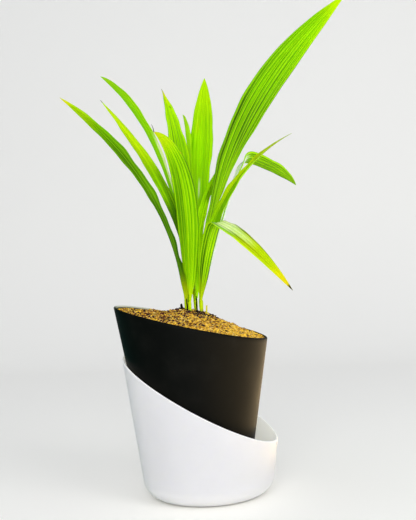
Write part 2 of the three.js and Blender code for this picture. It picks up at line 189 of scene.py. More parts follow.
# How each leaf looks. tone runs from the deepest green at 0 through the brightest at 1 to yellow-green at
# 1.45. slope is how much it rises from the one edge of the blade to the other, low how much it rises
# towards the foot, and high how much it rises from the share of the length in start to the tip. The key
# after
# these paints shade: the difference between the two flanks of a pleat, one lit and one shaded. lines is the
# strength of the pale ridge lines, a painted highlight. The number in stripes says how many uneven stripes
# there are across the blade, and contrast how strong they are.
LOOKS = {
    "leaf_01": {
        "pleats": 5, "tone": 0.3, "slope": -0.05, "low": -0.25, "high": 0.5, "start": 0.7,
        "flank_shading": 0.08, "lines": 0.15, "stripes": 8, "contrast": 0.3,
    },
    "leaf_02": {
        "pleats": 4, "tone": 0.67, "slope": 0.0, "low": -0.1, "high": 0.0, "start": 0.6,
        "flank_shading": 0.06, "lines": 0.1, "stripes": 5, "contrast": 0.45,
    },
    "leaf_03": {
        "pleats": 4, "tone": 0.8, "slope": 0.05, "low": 0.0, "high": 0.0, "start": 0.6,
        "flank_shading": 0.1, "lines": 0.1, "stripes": 6, "contrast": 0.25,
    },
    "leaf_04": {
        "pleats": 6, "tone": 0.5, "slope": -0.05, "low": 0.0, "high": 0.38, "start": 0.7,
        "flank_shading": 0.25, "lines": 0.25, "stripes": 8, "contrast": 0.35,
    },
    "leaf_05": {
        "pleats": 7, "tone": 0.48, "slope": -0.06, "low": 0.35, "high": 0.75, "start": 0.7,
        "flank_shading": 0.2, "lines": 0.4, "stripes": 8, "contrast": 0.35,
    },
    "leaf_06": {
        "pleats": 7, "tone": 0.85, "slope": 0.0, "low": 0.1, "high": -0.1, "start": 0.6,
        "flank_shading": 0.15, "lines": 0.35, "stripes": 9, "contrast": 0.4,
    },
    "leaf_07": {
        "pleats": 4, "tone": 0.9, "slope": 0.0, "low": 0.1, "high": 0.1, "start": 0.6,
        "flank_shading": 0.1, "lines": 0.1, "stripes": 6, "contrast": 0.25,
    },
    # Its slope also paints shade: one half of the blade darker than the other.
    "leaf_08": {
        "pleats": 11, "tone": 0.24, "slope": 0.48, "low": 0.34, "high": 0.62, "start": 0.6,
        "flank_shading": 0.16, "lines": 0.55, "stripes": 15, "contrast": 0.55,
    },
    "leaf_09": {
        "pleats": 5, "tone": 0.62, "slope": 0.1, "low": 0.15, "high": 0.1, "start": 0.6,
        "flank_shading": 0.15, "lines": 0.2, "stripes": 8, "contrast": 0.35,
    },
    "leaf_10": {
        "pleats": 7, "tone": 0.46, "slope": -0.06, "low": 0.0, "high": -0.12, "start": 0.7,
        "flank_shading": 0.3, "lines": 0.25, "stripes": 9, "contrast": 0.4,
    },
    "leaf_11": {
        "pleats": 5, "tone": 0.62, "slope": -0.12, "low": -0.1, "high": 0.0, "start": 0.6,
        "flank_shading": 0.3, "lines": 0.45, "stripes": 6, "contrast": 0.85,
    },
    "leaf_12": {
        "pleats": 4, "tone": 1.05, "slope": 0.05, "low": 0.2, "high": -0.1, "start": 0.6,
        "flank_shading": 0.1, "lines": 0.1, "stripes": 6, "contrast": 0.25,
    },
}

# The whole width of a blade as a patch's span
WHOLE = (0, 1, 0.1)


def patch(colour, strength, across, along, face=None, striped=0.0):
    """A place on a blade with a colour laid over it and how strong it is: the blade's own marks and, on
    some leaves, painted shade, painted highlights and painted light shining through. The spans across and
    along run from a share of the width or length to another, and end in how soft their edges are. A span
    from -1 or to 2 is open there. face is 0 for the upper face, 1 for the lower one and None for both, and
    striped is how much the patch fades along the valleys of the pleats."""
    return {
        "colour": colour, "strength": strength, "across": across, "along": along,
        "face": face, "striped": striped,
    }


PATCHES = {
    "leaf_01": (
        patch("deep", 0.5, WHOLE, (0.27, 0.42, 0.06)),
        patch("straw", 0.2, WHOLE, (0.84, 2, 0.06)),
        patch("straw", 0.8, WHOLE, (0.955, 2, 0.02)),
    ),
    "leaf_02": (
        patch("straw", 0.3, WHOLE, (0.64, 2, 0.12)),
        # Painted shade: the folded-back right half and the foot are darkened.
        patch("deep", 0.5, (0.52, 2, 0.14), (0.3, 0.6, 0.06)),
        patch("deep", 0.85, (-1, 0.8, 0.1), (-1, 0.44, 0.06)),
        patch("brown", 1.0, WHOLE, (0.985, 2, 0.005)),
    ),
    "leaf_03": (
        patch("fresh", 0.7, (-1, 0.75, 0.1), (-1, 0.9, 0.06)),
        # Painted reflection: a whitish strip along the right edge, where the folded half reflects the
        # light.
        patch("pale", 0.95, (0.78, 2, 0.05), (0.34, 0.57, 0.05)),
    ),
    "leaf_04": (
        patch("straw", 0.5, WHOLE, (0.93, 2, 0.05)),
        patch("rust", 0.4, WHOLE, (0.97, 0.985, 0.01)),
        patch("brown", 1.0, WHOLE, (0.988, 2, 0.004)),
        patch("brown", 0.9, (0.2, 0.34, 0.05), (0.893, 0.9, 0.004)),
    ),
    "leaf_05": (
        patch("straw", 0.25, WHOLE, (0.85, 2, 0.06)),
        patch("straw", 0.45, WHOLE, (0.965, 2, 0.03)),
        patch("rust", 0.2, WHOLE, (0.985, 2, 0.01)),
        patch("rust", 0.7, (0.93, 0.97, 0.03), (0.79, 0.8, 0.006)),
        patch("deep", 0.35, (0.15, 0.22, 0.04), (0.3, 0.85, 0.1)),
    ),
    "leaf_06": (
        # Painted light: the lower blade made brighter green, as if lit through.
        patch("painted_backlit_green", 0.4, WHOLE, (-1, 0.74, 0.12)),
        patch("bright", 0.35, WHOLE, (0.84, 2, 0.08)),
        # Painted light: a pale spot where light shows through a gap between the leaves.
        patch("pale", 1.0, (0.545, 0.585, 0.02), (0.45, 0.52, 0.02)),
        patch("rust", 0.25, (0.7, 0.8, 0.08), (0.75, 0.79, 0.04)),
    ),
    "leaf_07": (
        # Painted light: the blade made brighter green, as if lit through.
        patch("painted_backlit_green", 0.6, WHOLE, (-1, 0.9, 0.15)),
    ),
    "leaf_08": (
        patch("fresh", 0.3, (-1, 0.8, 0.2), (0.6, 0.92, 0.05)),
        patch("bright", 0.6, WHOLE, (0.93, 2, 0.04)),
    ),
    "leaf_09": (
        patch("straw", 0.3, (0.6, 2, 0.1), (0.5, 2, 0.1)),
        patch("olive", 0.85, WHOLE, (0.8, 2, 0.08)),
    ),
    "leaf_10": (
        # Painted sheen: the shining upper face made whitish grey-green.
        patch("painted_sheen", 1.0, (0.1, 2, 0.08), (0.06, 0.675, 0.02), striped=0.25),
        patch("deep", 0.3, (0.85, 2, 0.05), (0.75, 0.97, 0.02)),
    ),
    "leaf_11": (
        patch("straw", 0.42, WHOLE, (0.62, 2, 0.1)),
        patch("straw", 0.75, WHOLE, (0.88, 2, 0.05)),
        patch("rust", 0.25, WHOLE, (0.93, 2, 0.04)),
        # Painted highlight: the glossy upper face whitened at the bend.
        patch("pale", 0.95, (0.25, 2, 0.2), (0.41, 0.58, 0.07), face=0, striped=0.7),
        patch("pale", 0.6, (0.45, 0.85, 0.1), (0.55, 0.7, 0.06), face=0, striped=0.7),
        patch("brown", 0.95, WHOLE, (0.972, 2, 0.008)),
    ),
    "leaf_12": (
        # Painted light: the whole blade made brighter green, as if lit through.
        patch("painted_backlit_green", 0.9, WHOLE, (-1, 2, 0.1)),
        patch("deep", 0.6, (-1, 0.5, 0.1), (0.69, 0.83, 0.03)),
    ),
}

# Withered sheaths and stalks, and one cut stalk, that stick up out of the soil beside the shoots. lean is
# how far a top stands along x from its foot.
STUBS = {
    "dead_sheath_left": {"x": -0.0127, "y": -0.0071, "height": 0.0045, "radius": 0.0012, "lean": -0.0007},
    "dead_sheath_front": {"x": -0.0088, "y": -0.0073, "height": 0.0085, "radius": 0.0006, "lean": -0.0004},
    "dead_stalk_right": {"x": -0.0016, "y": -0.0076, "height": 0.012, "radius": 0.0006, "lean": 0.0},
    "cut_stalk": {"x": 0.0042, "y": -0.0016, "height": 0.006, "radius": 0.0008, "lean": 0.0004},
}

# What is strewn on the coir: how many as a share of the crumbs setting, their length as a share of the
# crumb length, how strongly they keep to the left, and their colour
STREWN = {
    "coir_crumbs_gold": {"share": 1.05, "length": 1.0, "leftwards": 0.0, "colour": (0.86, 0.55, 0.048)},
    "coir_crumbs_tan": {"share": 0.5, "length": 1.0, "leftwards": 0.5, "colour": (0.52, 0.24, 0.03)},
    "coir_crumbs_pale": {"share": 0.38, "length": 0.8, "leftwards": 0.0, "colour": (0.93, 0.72, 0.24)},
    "coir_chips_umber": {"share": 1.0, "length": 1.0, "leftwards": 0.85, "colour": (0.12, 0.036, 0.022)},
    "coir_chips_dark": {"share": 0.8, "length": 1.1, "leftwards": 0.88, "colour": (0.026, 0.009, 0.016)},
}

# Clods of crumbs on the coir: how many crumbs, the middle and the spread of the heap, and its height
CLODS = {
    "coir_clods_front": {"count": 230, "x": 0.001, "y": -0.0075, "spread": 0.0045, "pile": 0.0008},
    "coir_clods_left": {"count": 280, "x": -0.0155, "y": -0.002, "spread": 0.003, "pile": 0.0022},
    "coir_clods_right": {"count": 90, "x": 0.0085, "y": -0.001, "spread": 0.0022, "pile": 0.001},
    "coir_clods_edge": {"count": 60, "x": -0.0465, "y": 0.0335, "spread": 0.0014, "pile": 0.0014},
    "coir_clods_back": {"count": 50, "x": 0.021, "y": 0.014, "spread": 0.0014, "pile": 0.001},
}
TAN_CLODS = ("coir_clods_edge", "coir_clods_back")

# The camera of the photograph, fitted to the pots' outlines: how far round the pot's axis it stands,
# its distance from the axis and height, its turn, tilt and roll in radians, and its lens in millimetres
CAMERA = {
    "round": 0.211, "away": 0.5196, "height": 0.1393,
    "turn": -0.198, "tilt": -0.058, "roll": -0.049, "lens": 48.46, "sensor": 36.0,
}


class Wire:
    """A shader node's output that takes part in Python arithmetic: an operation on it adds a Math node,
    and either operand may be a plain number."""

    def __init__(self, finish, socket):
        self.finish = finish
        self.socket = socket

    def math(self, operation, *operands):
        sockets = dict(enumerate(operands))
        return self.finish.node("Math", {"operation": operation}, sockets)

    def __add__(self, other):
        return self.math("ADD", self, other)

    def __radd__(self, other):
        return self.math("ADD", other, self)

    def __sub__(self, other):
        return self.math("SUBTRACT", self, other)

    def __rsub__(self, other):
        return self.math("SUBTRACT", other, self)

    def __mul__(self, other):
        return self.math("MULTIPLY", self, other)

    def __rmul__(self, other):
        return self.math("MULTIPLY", other, self)

    def __pow__(self, other):
        return self.math("POWER", self, other)

    def __abs__(self):
        return self.math("ABSOLUTE", self)

    def sine(self):
        return self.math("SINE", self)

    def cosine(self):
        return self.math("COSINE", self)

    def least(self, other):
        return self.math("MINIMUM", self, other)

    def most(self, other):
        return self.math("MAXIMUM", self, other)

    def step(self, low, high):
        """0 up to low, 1 from high on, and an S-curve between them. low may be above high."""
        settings = {"interpolation_type": "SMOOTHSTEP"}
        sockets = {"Value": self, "From Min": low, "From Max": high}
        return self.finish.node("MapRange", settings, sockets)

    def window(self, low, high, soft):
        """1 between low and high and 0 outside, its two edges soft on either side."""
        return self.step(low - soft, low + soft) * self.step(high + soft, high - soft)


class Finish:
    """A material: its principled shader, and the nodes that feed what varies over the surface."""

    MIX_FACTOR, MIX_A, MIX_B, MIX_RESULT = 0, 6, 7, 2

    def __init__(self, name, **constants):
        self.material = bpy.data.materials.new(name)
        self.material.use_nodes = True
        self.tree = self.material.node_tree
        self.shader = self.tree.nodes["Principled BSDF"]
        for socket, value in constants.items():
            self.feed(self.shader.inputs[socket.replace("_", " ")], value)

    def feed(self, socket, value):
        """Gives a socket a wire or a value. A colour of three numbers is fully opaque."""
        if isinstance(value, Wire):
            self.tree.links.new(value.socket, socket)
        elif isinstance(value, tuple) and len(value) == 3 and len(socket.default_value) == 4:
            socket.default_value = (*value, 1.0)
        else:
            socket.default_value = value

    def node(self, kind, settings=None, sockets=None, output=0):
        """Adds a node of that kind, sets its settings, then feeds its sockets values or wires."""
        made = self.tree.nodes.new("ShaderNode" + kind)
        for setting, value in (settings or {}).items():
            setattr(made, setting, value)
        for socket, value in (sockets or {}).items():
            self.feed(made.inputs[socket], value)
        return Wire(self, made.outputs[output])

    def place(self):
        """The place on the piece, in metres."""
        return self.node("TexCoord", output="Object")

    def parts(self, place):
        """The x, y and z of a place."""
        return [self.node("SeparateXYZ", None, {0: place}, axis) for axis in range(3)]

    def map(self, name):
        """The across and along coordinates of the piece's own map of that name."""
        across, along, _ = self.parts(self.node("UVMap", {"uv_map": name}))
        return across, along

    def point(self, x, y, z=0.0):
        """A place put together from its three values."""
        return self.node("CombineXYZ", None, {0: x, 1: y, 2: z})

    def noise(self, place, scale, detail=2.0, roughness=0.5):
        """Smooth noise round 0.5, its coarsest patches about 1 / scale wide. Each octave of detail is
        twice as fine as the one before and roughness times as strong."""
        sockets = {"Vector": place, "Scale": scale, "Detail": detail, "Roughness": roughness}
        return self.node("TexNoise", None, sockets)

    def blend(self, factor, first, second):
        """The first colour where the factor is 0 and the second where it is 1."""
        sockets = {self.MIX_FACTOR: factor, self.MIX_A: first, self.MIX_B: second}
        return self.node("Mix", {"data_type": "RGBA"}, sockets, self.MIX_RESULT)

    def colour(self, value):
        self.feed(self.shader.inputs["Base Color"], value)

    def rough(self, value):
        self.feed(self.shader.inputs["Roughness"], value)

    def bump(self, height, distance, strength=1.0):
        """height runs from 0 to 1 and stands for distance metres of relief."""
        sockets = {"Height": height, "Distance": distance, "Strength": strength}
        self.feed(self.shader.inputs["Normal"], self.node("Bump", None, sockets))


def add_mesh(name, vertices, quads, triangles, finish, corner_map=None):
    """A mesh object from arrays of vertices and of corner numbers, smooth-shaded, with its finish.
    corner_map gives each corner its place on the piece's own map."""
    mesh = bpy.data.meshes.new(name)
    corners = np.concatenate((quads.ravel(), triangles.ravel())).astype(np.int32)
    sizes = np.concatenate((np.full(len(quads), 4), np.full(len(triangles), 3)))
    starts = np.concatenate(([0], np.cumsum(sizes)[:-1])).astype(np.int32)
    mesh.vertices.add(len(vertices))
    mesh.vertices.foreach_set("co", np.asarray(vertices, np.float32).ravel())
    mesh.loops.add(len(corners))
    mesh.loops.foreach_set("vertex_index", corners)
    mesh.polygons.add(len(sizes))
    mesh.polygons.foreach_set("loop_start", starts)
    mesh.update(calc_edges=True)
    mesh.polygons.foreach_set("use_smooth", np.ones(len(sizes), bool))
    if corner_map is not None:
        layer = mesh.uv_layers.new(name="blade")
        layer.data.foreach_set("uv", np.asarray(corner_map, np.float32).ravel())
    mesh.validate()
    mesh.materials.append(finish.material)
    piece = bpy.data.objects.new(name, mesh)
    bpy.context.scene.collection.objects.link(piece)
    return piece


def ring_faces(rows, columns):
    """Quads between rows of closed rings, and triangles from each end ring to a point that follows the
    last ring, first the point of the first ring and then that of the last."""
    row, column = np.meshgrid(np.arange(rows - 1), np.arange(columns), indexing="ij")
    here = row * columns + column
    beside = row * columns + (column + 1) % columns
    quads = np.stack((here, beside, beside + columns, here + columns), -1).reshape(-1, 4)
    around = np.arange(columns)
    after = (around + 1) % columns
    last = (rows - 1) * columns
    first_point = np.full(columns, rows * columns)
    start = np.stack((first_point, after, around), -1)
    end = np.stack((first_point + 1, last + around, last + after), -1)
    return quads, np.concatenate((start, end))


def add_rings(name, rings, finish, ends=None, ring_map=None):
    """A closed piece from an array of rings (rows, columns, 3), whose two ends close on their middles,
    or on the two points in ends. Seen from the first ring's end the rings run clockwise.

    ring_map holds the across value of each column's start, one more than the columns, and the along
    value of each row."""
    rows, columns = rings.shape[:2]
    ends = np.stack((rings[0].mean(0), rings[-1].mean(0))) if ends is None else np.asarray(ends)
    quads, triangles = ring_faces(rows, columns)
    vertices = np.concatenate((rings.reshape(-1, 3), ends))
    corner_map = None
    if ring_map is not None:
        across, along = ring_map
        left = np.tile(across[:-1], rows - 1)
        right = np.tile(across[1:], rows - 1)
        low = np.repeat(along[:-1], columns)
        high = np.repeat(along[1:], columns)
        quad_map = np.stack((left, low, right, low, right, high, left, high), -1).reshape(-1, 2)
        caps = []
        for row, order in ((0, (1, 0)), (-1, (0, 1))):
            middle = (across[:-1] + across[1:]) / 2
            sides = [across[:-1], across[1:]]
            level = np.full(columns, along[row])
            corners = (middle, level, sides[order[0]], level, sides[order[1]], level)
            caps.append(np.stack(corners, -1).reshape(-1, 2))
        corner_map = np.concatenate((quad_map, *caps))
    return add_mesh(name, vertices, quads, triangles, finish, corner_map)


def round_rings(x, y, radius, height, angle):
    """Points round the axis at x and y: x + radius cos angle, y + radius sin angle, at each height."""
    place = (x + radius * np.cos(angle), y + radius * np.sin(angle), height + 0 * angle)
    return np.stack(np.broadcast_arrays(*place), -1)


def circle(sides):
    """Angles of a ring that runs clockwise seen from above."""
    return -np.linspace(0, 2 * np.pi, sides, endpoint=False)


def settle(piece, slot, *nodes):
    """The piece rides on the plant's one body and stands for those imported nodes."""
    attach(piece, "root")
    if nodes:
        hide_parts(*nodes)


def name_seed(name):
    """A seed for the random draws of the piece of that name."""
    return sum(map(ord, name))


def smooth_step(value):
    """0 below 0, 1 above 1, and 3v² − 2v³ between them."""
    value = np.clip(value, 0, 1)
    return value * value * (3 - 2 * value)


def waves(x, y, size, count, seed):
    """Smooth relief of about unit height: the sum of sine waves about size long in seeded directions."""
    rng = np.random.default_rng(seed)
    total = np.zeros(np.broadcast(x, y).shape)
    for heading, phase, stretch in rng.uniform((0, 0, 0.6), (np.pi, 2 * np.pi, 1.7), (count, 3)):
        turn = 2 * np.pi / (size * stretch)
        total += np.sin(turn * (x * np.cos(heading) + y * np.sin(heading)) + phase)
    return total / np.sqrt(count)


# Pots

def pot_radius(pot, z, inset):
    """The cone's radius at a height, moved inwards by inset, measured square to the wall."""
    return pot["radius"] + pot["flare"] * z - inset * np.hypot(1, pot["flare"])


def rim_height(pot, x):
    """The height of the rim's plane at x."""
    return pot["rim_height"] - pot["rim_fall"] * x


def rim_level(pot, angle, inset, drop):
    """The height where the cone moved inwards by inset meets the rim's plane lowered by drop."""
    reach = pot["x"] + pot_radius(pot, 0, inset) * np.cos(angle)
    slope = pot["rim_fall"] * pot["flare"] * np.cos(angle)
    return (rim_height(pot, reach) - drop) / (1 + slope)


def pot_wall(pot, angle, floor, inset, top, shares):
    """One side of a pot's wall as (radius, height) at each angle: in from the axis along the floor, round
    the base's quarter circle, which touches the floor and the cone, and straight up the cone to top."""
    around = pot["base_round"] - inset
    slant = np.hypot(1, pot["flare"])
    middle = pot_radius(pot, floor + around, inset) - around * slant
    turn = np.linspace(-np.pi / 2, -np.arctan(pot["flare"]), shares["round"])
    floor_radius = np.linspace(0.02, 1, shares["floor"], endpoint=False) * middle
    arc_radius = middle + around * np.cos(turn)
    arc_height = floor + around * (1 + np.sin(turn))
    climb = np.linspace(0, 1, shares["wall"] + 1)[1:, None]
    wall_height = arc_height[-1] + (top - arc_height[-1]) * climb
    wall_radius = pot_radius(pot, wall_height, inset)
    low_radius = np.concatenate((floor_radius, arc_radius))[:, None] * np.ones_like(angle)
    low_height = np.concatenate((np.full(shares["floor"], floor), arc_height))[:, None]
    low_height = low_height * np.ones_like(angle)
    radius = np.concatenate((low_radius, wall_radius))
    height = np.concatenate((low_height, wall_height))
    return radius, height


def add_pot(name, pot, finish, sides=224):
    """A pot's shell, turned round its own axis and cut off on a slant. The lip joins the two walls by a
    half ellipse that just reaches the rim's plane."""
    angle = np.linspace(0, 2 * np.pi, sides, endpoint=False)
    shares = {"floor": 6, "round": 14, "wall": 40}
    drop = pot["wall"] / 2 * np.hypot(1, pot["rim_fall"])
    outer_top = rim_level(pot, angle, 0, drop)
    inner_top = rim_level(pot, angle, pot["wall"], drop)
    outside = pot_wall(pot, angle, pot["bottom"], 0, outer_top, shares)
    inside = pot_wall(pot, angle, pot["bottom"] + pot["floor"], pot["wall"], inner_top, shares)
    turn = np.linspace(0, np.pi, 12)[1:-1, None]
    lip = []
    for outer, inner, rise in zip(outside, inside, (0, drop)):
        middle = (outer[-1] + inner[-1]) / 2
        lip.append(middle + (outer[-1] - inner[-1]) / 2 * np.cos(turn) + rise * np.sin(turn))
    radius = np.concatenate((outside[0], lip[0], inside[0][::-1]))
    height = np.concatenate((outside[1], lip[1], inside[1][::-1]))
    rings = round_rings(pot["x"], 0, radius, height, -angle)
    floor = pot["bottom"] + pot["floor"]
    ends = ((pot["x"], 0, pot["bottom"]), (pot["x"], 0, floor))
    return add_rings(name, rings, finish, ends)


def add_peg(name, x, y, low, high, radius, bevel, finish, sides=40):
    """A round peg with its two edges bevelled by a quarter circle."""
    turn = np.linspace(0, np.pi / 2, 5)
    out = np.concatenate(([0.5 * radius], radius - bevel + bevel * np.sin(turn)))
    down = np.concatenate(([0], bevel - bevel * np.cos(turn)))
    radii = np.concatenate((out, out[::-1]))[:, None]
    heights = np.concatenate((low + down, (high - down)[::-1]))[:, None]
    return add_rings(name, round_rings(x, y, radii, heights, circle(sides)), finish)


def cut(piece, cutter):
    """Takes the cutter's shape out of the piece and removes the cutter."""
    modifier = piece.modifiers.new("cut", "BOOLEAN")
    modifier.operation = "DIFFERENCE"
    modifier.solver = "EXACT"
    modifier.object = cutter
    with bpy.context.temp_override(object=piece, active_object=piece, selected_objects=[piece]):
        bpy.ops.object.modifier_apply(modifier=modifier.name)
    bpy.data.objects.remove(cutter)


def ring_places(pegs):
    """The middles of pegs spaced evenly on a ring round the inner pot's axis."""
    angle = 2 * np.pi * np.arange(pegs["count"]) / pegs["count"]
    return INNER_POT["x"] + pegs["ring"] * np.cos(angle), pegs["ring"] * np.sin(angle)


def white_plastic(colour):
    """Smooth satin plastic: even in colour, with a very fine moulded grain and faint rubbed patches. Its
    lip and its inner wall from the rim down glow with painted light: emission that stands in for light
    coming through the plastic, strongest near the rim, with a painted highlight along the lip."""
    finish = Finish(
        "white_plastic", Specular_IOR_Level=0.2, Emission_Strength=1.0,
        Subsurface_Weight=1.0, Subsurface_Radius=(1.0, 1.0, 0.85), Subsurface_Scale=0.0065,
    )
    place = finish.place()
    rubbed = finish.noise(place, 28.0, 3.0, 0.55)
    x, y, z = finish.parts(place)
    depth = OUTER_POT["radius"] + OUTER_POT["flare"] * z - (x * x + y * y) ** 0.5
    below = OUTER_POT["rim_height"] - OUTER_POT["rim_fall"] * x - z
    # Painted glow: the inner wall below the rim and, as a painted highlight, the lip are lit by emission
    # that stands in for light coming through the plastic.
    inner = depth.step(0.0008, 0.0013) * below.step(0.05, 0.0)
    painted_glow = inner.most(below.step(0.0009, 0.0004) * 0.7)
    painted_glow_colour = finish.blend(painted_glow, (0.0, 0.0, 0.0), (0.22, 0.22, 0.20))
    finish.feed(finish.shader.inputs["Emission Color"], painted_glow_colour)
    duller = tuple(0.97 * channel for channel in colour)
    finish.colour(finish.blend(rubbed.step(0.35, 0.75), colour, duller))
    finish.rough(0.34 + 0.12 * rubbed)
    finish.bump(finish.noise(place, 900.0, 2.0), 0.00002, 0.5)
    return finish


def black_plastic(colour, dust, pale):
    """Satin black plastic with a fine grain, faint smears and a thin film of dust, and a painted highlight:
    pale along the highest part of its rim at the back left."""
    finish = Finish("black_plastic", Specular_IOR_Level=0.04)
    place = finish.place()
    smears = finish.noise(place, 45.0, 5.0, 0.6)
    film = smears.step(0.45, 0.8) * 0.2
    x, y, z = finish.parts(place)
    below = INNER_POT["rim_height"] - INNER_POT["rim_fall"] * x - z
    # Painted highlight: the top of the rim at the back left is made pale, where it catches the light.
    rim_highlight = below.step(0.0016, 0.0004) * x.step(-0.018, -0.044) * y.step(-0.03, 0.0) * 0.95
    finish.colour(finish.blend(rim_highlight, finish.blend(film, colour, dust), pale))
    finish.rough(0.42 + 0.2 * smears)
    finish.bump(finish.noise(place, 1100.0, 2.0), 0.00003, 0.4)
    return finish


# Coir

def soil_edge(angle):
    """The soil's radius in the heading angle, where its edge meets the inner pot's wall: the radius at
    the soil's level on the axis, divided by 1 + flare * rim_fall * cos angle, as soil and rim slope."""
    level = rim_height(INNER_POT, INNER_POT["x"]) - SOIL["below_rim"]
    radius = pot_radius(INNER_POT, level, INNER_POT["wall"] + GAP)
    return radius / (1 + INNER_POT["flare"] * INNER_POT["rim_fall"] * np.cos(angle))


def soil_top(x, y):
    """The height of the soil's surface: the rim's slope, the heap, and the lumps and the hollow, which die
    away outwards as 1 − share², share being the way from the middle to the edge. The hollow is a bell
    curve of x, and the sunk left an S-curve of it."""
    out = x - INNER_POT["x"]
    edge = soil_edge(np.arctan2(y, out))
    out_x, out_y = out / edge, y / edge
    inward = np.maximum(0, 1 - out_x ** 2 - out_y ** 2)
    tilted = 1 + SOIL["tilt_x"] * out_x + SOIL["tilt_y"] * out_y
    heap = SOIL["heap"] * inward ** SOIL["heap_power"] * tilted
    lumps = np.cos(x / SOIL["lump_along_x"]) * np.cos(y / SOIL["lump_along_y"] - SOIL["lump_shift"])
    level = rim_height(INNER_POT, x) - SOIL["below_rim"]
    hollow = HOLLOW["depth"] * np.exp(-((x - HOLLOW["x"]) / HOLLOW["reach"]) ** 2)
    sunk = SUNK["depth"] * smooth_step((x - SUNK["start"]) / (SUNK["end"] - SUNK["start"]))
    return level - sunk + heap + inward * (SOIL["lump"] * lumps - hollow)


def coir_relief(x, y):
    """Crumbs of two sizes on the soil's surface, as heights in metres."""
    coarse = waves(x, y, 0.0046, 14, 11)
    fine = waves(x, y, 0.0014, 18, 12)
    return 0.00040 * coarse + 0.00016 * fine


def add_soil_bed(finish, rings=150, sides=360):
    """The filled grow pot: rings from the soil's middle out to its edge, each point at the height of the
    surface and its crumbs, then down the pot's wall to a chamfered foot."""
    angle = circle(sides)
    edge = soil_edge(angle)
    share = (np.arange(1, rings + 1) / rings)[:, None]
    x = INNER_POT["x"] + edge * share * np.cos(angle)
    y = edge * share * np.sin(angle)
    top = soil_top(x, y) + coir_relief(x, y) * np.minimum(1, 12 * (1 - share))
    bottom = INNER_POT["bottom"] + INNER_POT["floor"] + GAP
    inset = INNER_POT["wall"] + GAP
    shoulder = bottom + SOIL["foot_chamfer"]
    heights = np.array([shoulder, bottom])
    radii = np.array([
        pot_radius(INNER_POT, shoulder, inset),
        pot_radius(INNER_POT, bottom, inset) - SOIL["foot_chamfer"],
    ])
    low = round_rings(INNER_POT["x"], 0, radii[:, None], heights[:, None], angle)
    surface = np.concatenate((np.stack((x, y, top), -1), low))[::-1]
    middle = INNER_POT["x"]
    ends = ((middle, 0, bottom), (middle, 0, float(soil_top(middle, 0.0))))
    return add_rings("coir_bed", surface, finish, ends)


def way_out(x, y):
    """How far places are from the inner pot's axis, as shares of the way to the soil's edge."""
    out = x - INNER_POT["x"]
    return np.hypot(out, y) / soil_edge(np.arctan2(y, out))


def soil_spots(rng, count, margin):
    """Places spread evenly over the soil's surface, at least margin from its edge."""
    angle = rng.uniform(0, 2 * np.pi, count)
    radius = (soil_edge(angle) - margin) * np.sqrt(rng.uniform(0, 1, count))
    return INNER_POT["x"] + radius * np.cos(angle), radius * np.sin(angle)


def clear_of_shoots(x, y, reach):
    """Which places are at least reach from every shoot's axis."""
    away = [np.hypot(x - shoot["x"], y - shoot["y"]) for shoot in SHOOTS.values()]
    return np.min(away, 0) > reach


def turned(points, yaw, pitch, roll):
    """Points (pieces, points, 3) turned about X by roll, then about Y by pitch, then about Z by yaw."""
    x, y, z = np.moveaxis(points, -1, 0)
    cos, sin = np.cos(roll)[:, None], np.sin(roll)[:, None]
    y, z = y * cos - z * sin, y * sin + z * cos
    cos, sin = np.cos(pitch)[:, None], np.sin(pitch)[:, None]
    x, z = x * cos + z * sin, z * cos - x * sin
    cos, sin = np.cos(yaw)[:, None], np.sin(yaw)[:, None]
    return np.stack((x * cos - y * sin, x * sin + y * cos, z), -1)


# Corners of a chip of unit size, its faces pointing out
CHIP_CORNERS = np.array([
    (-1, -1, -1), (1, -1, -1), (1, 1, -1), (-1, 1, -1),
    (-1, -1, 1), (1, -1, 1), (1, 1, 1), (-1, 1, 1),
]) / 2
CHIP_FACES = np.array([
    (0, 3, 2, 1), (4, 5, 6, 7), (0, 1, 5, 4), (1, 2, 6, 5), (2, 3, 7, 6), (3, 0, 4, 7),
])


def chip_places(rng, count, near, leftwards, from_wall=0.0014, from_shoot=0.0016, furthest=0.975):
    """Places of crumbs all over the soil, or round the middle of the clod near, clear of the shoots and
    the pot's wall. leftwards thins them out towards the pot's right and its edge."""
    x, y = soil_spots(rng, count, from_wall)
    if near is not None:
        x = near["x"] + near["spread"] * rng.normal(size=count)
        y = near["y"] + near["spread"] * rng.normal(size=count)
    out = way_out(x, y)
    thin = leftwards * np.maximum(smooth_step((x + 0.03) / 0.06), smooth_step((out - 0.9) / 0.06))
    kept = clear_of_shoots(x, y, from_shoot) & (out < furthest) & (rng.uniform(size=count) > thin)
    return x[kept], y[kept]


def add_chips(name, count, length, seed, finish, near=None, leftwards=0.0):
    """Crumbs of coir: crooked little slivers strewn on the surface, lying roughly along it. near, if
    given, is the clod that they gather in, heaped up in a bell curve. leftwards thins them out towards
    the right, from 0 for not at all to 1."""
    rng = np.random.default_rng(seed)
    x, y = chip_places(rng, count, near, leftwards)
    count = len(x)
    long = length * rng.lognormal(0, 0.3, count)
    wide = long * rng.uniform(0.2, 0.4, count)
    deep = long * rng.uniform(0.15, 0.3, count)
    sizes = np.stack((long, wide, deep), -1)
    corners = CHIP_CORNERS * rng.uniform(0.5, 1.2, (count, 8, 3)) * sizes[:, None]
    tilt = rng.normal(0, 0.3, (2, count))
    corners = turned(corners, rng.uniform(0, 2 * np.pi, count), tilt[0], tilt[1])
    height = soil_top(x, y) + coir_relief(x, y) + rng.uniform(-0.0001, 0.0003, count)
    if near is not None:
        far = ((x - near["x"]) ** 2 + (y - near["y"]) ** 2) / near["spread"] ** 2
        height += near["pile"] * rng.uniform(0, 1, count) * np.exp(-far / 2)
    corners += np.stack((x, y, height), -1)[:, None]
    faces = (CHIP_FACES + 8 * np.arange(count)[:, None, None]).reshape(-1, 4)
    piece = add_mesh(name, corners.reshape(-1, 3), faces, np.zeros((0, 3), int), finish)
    piece.data.polygons.foreach_set("use_smooth", np.zeros(len(faces), bool))
    return piece


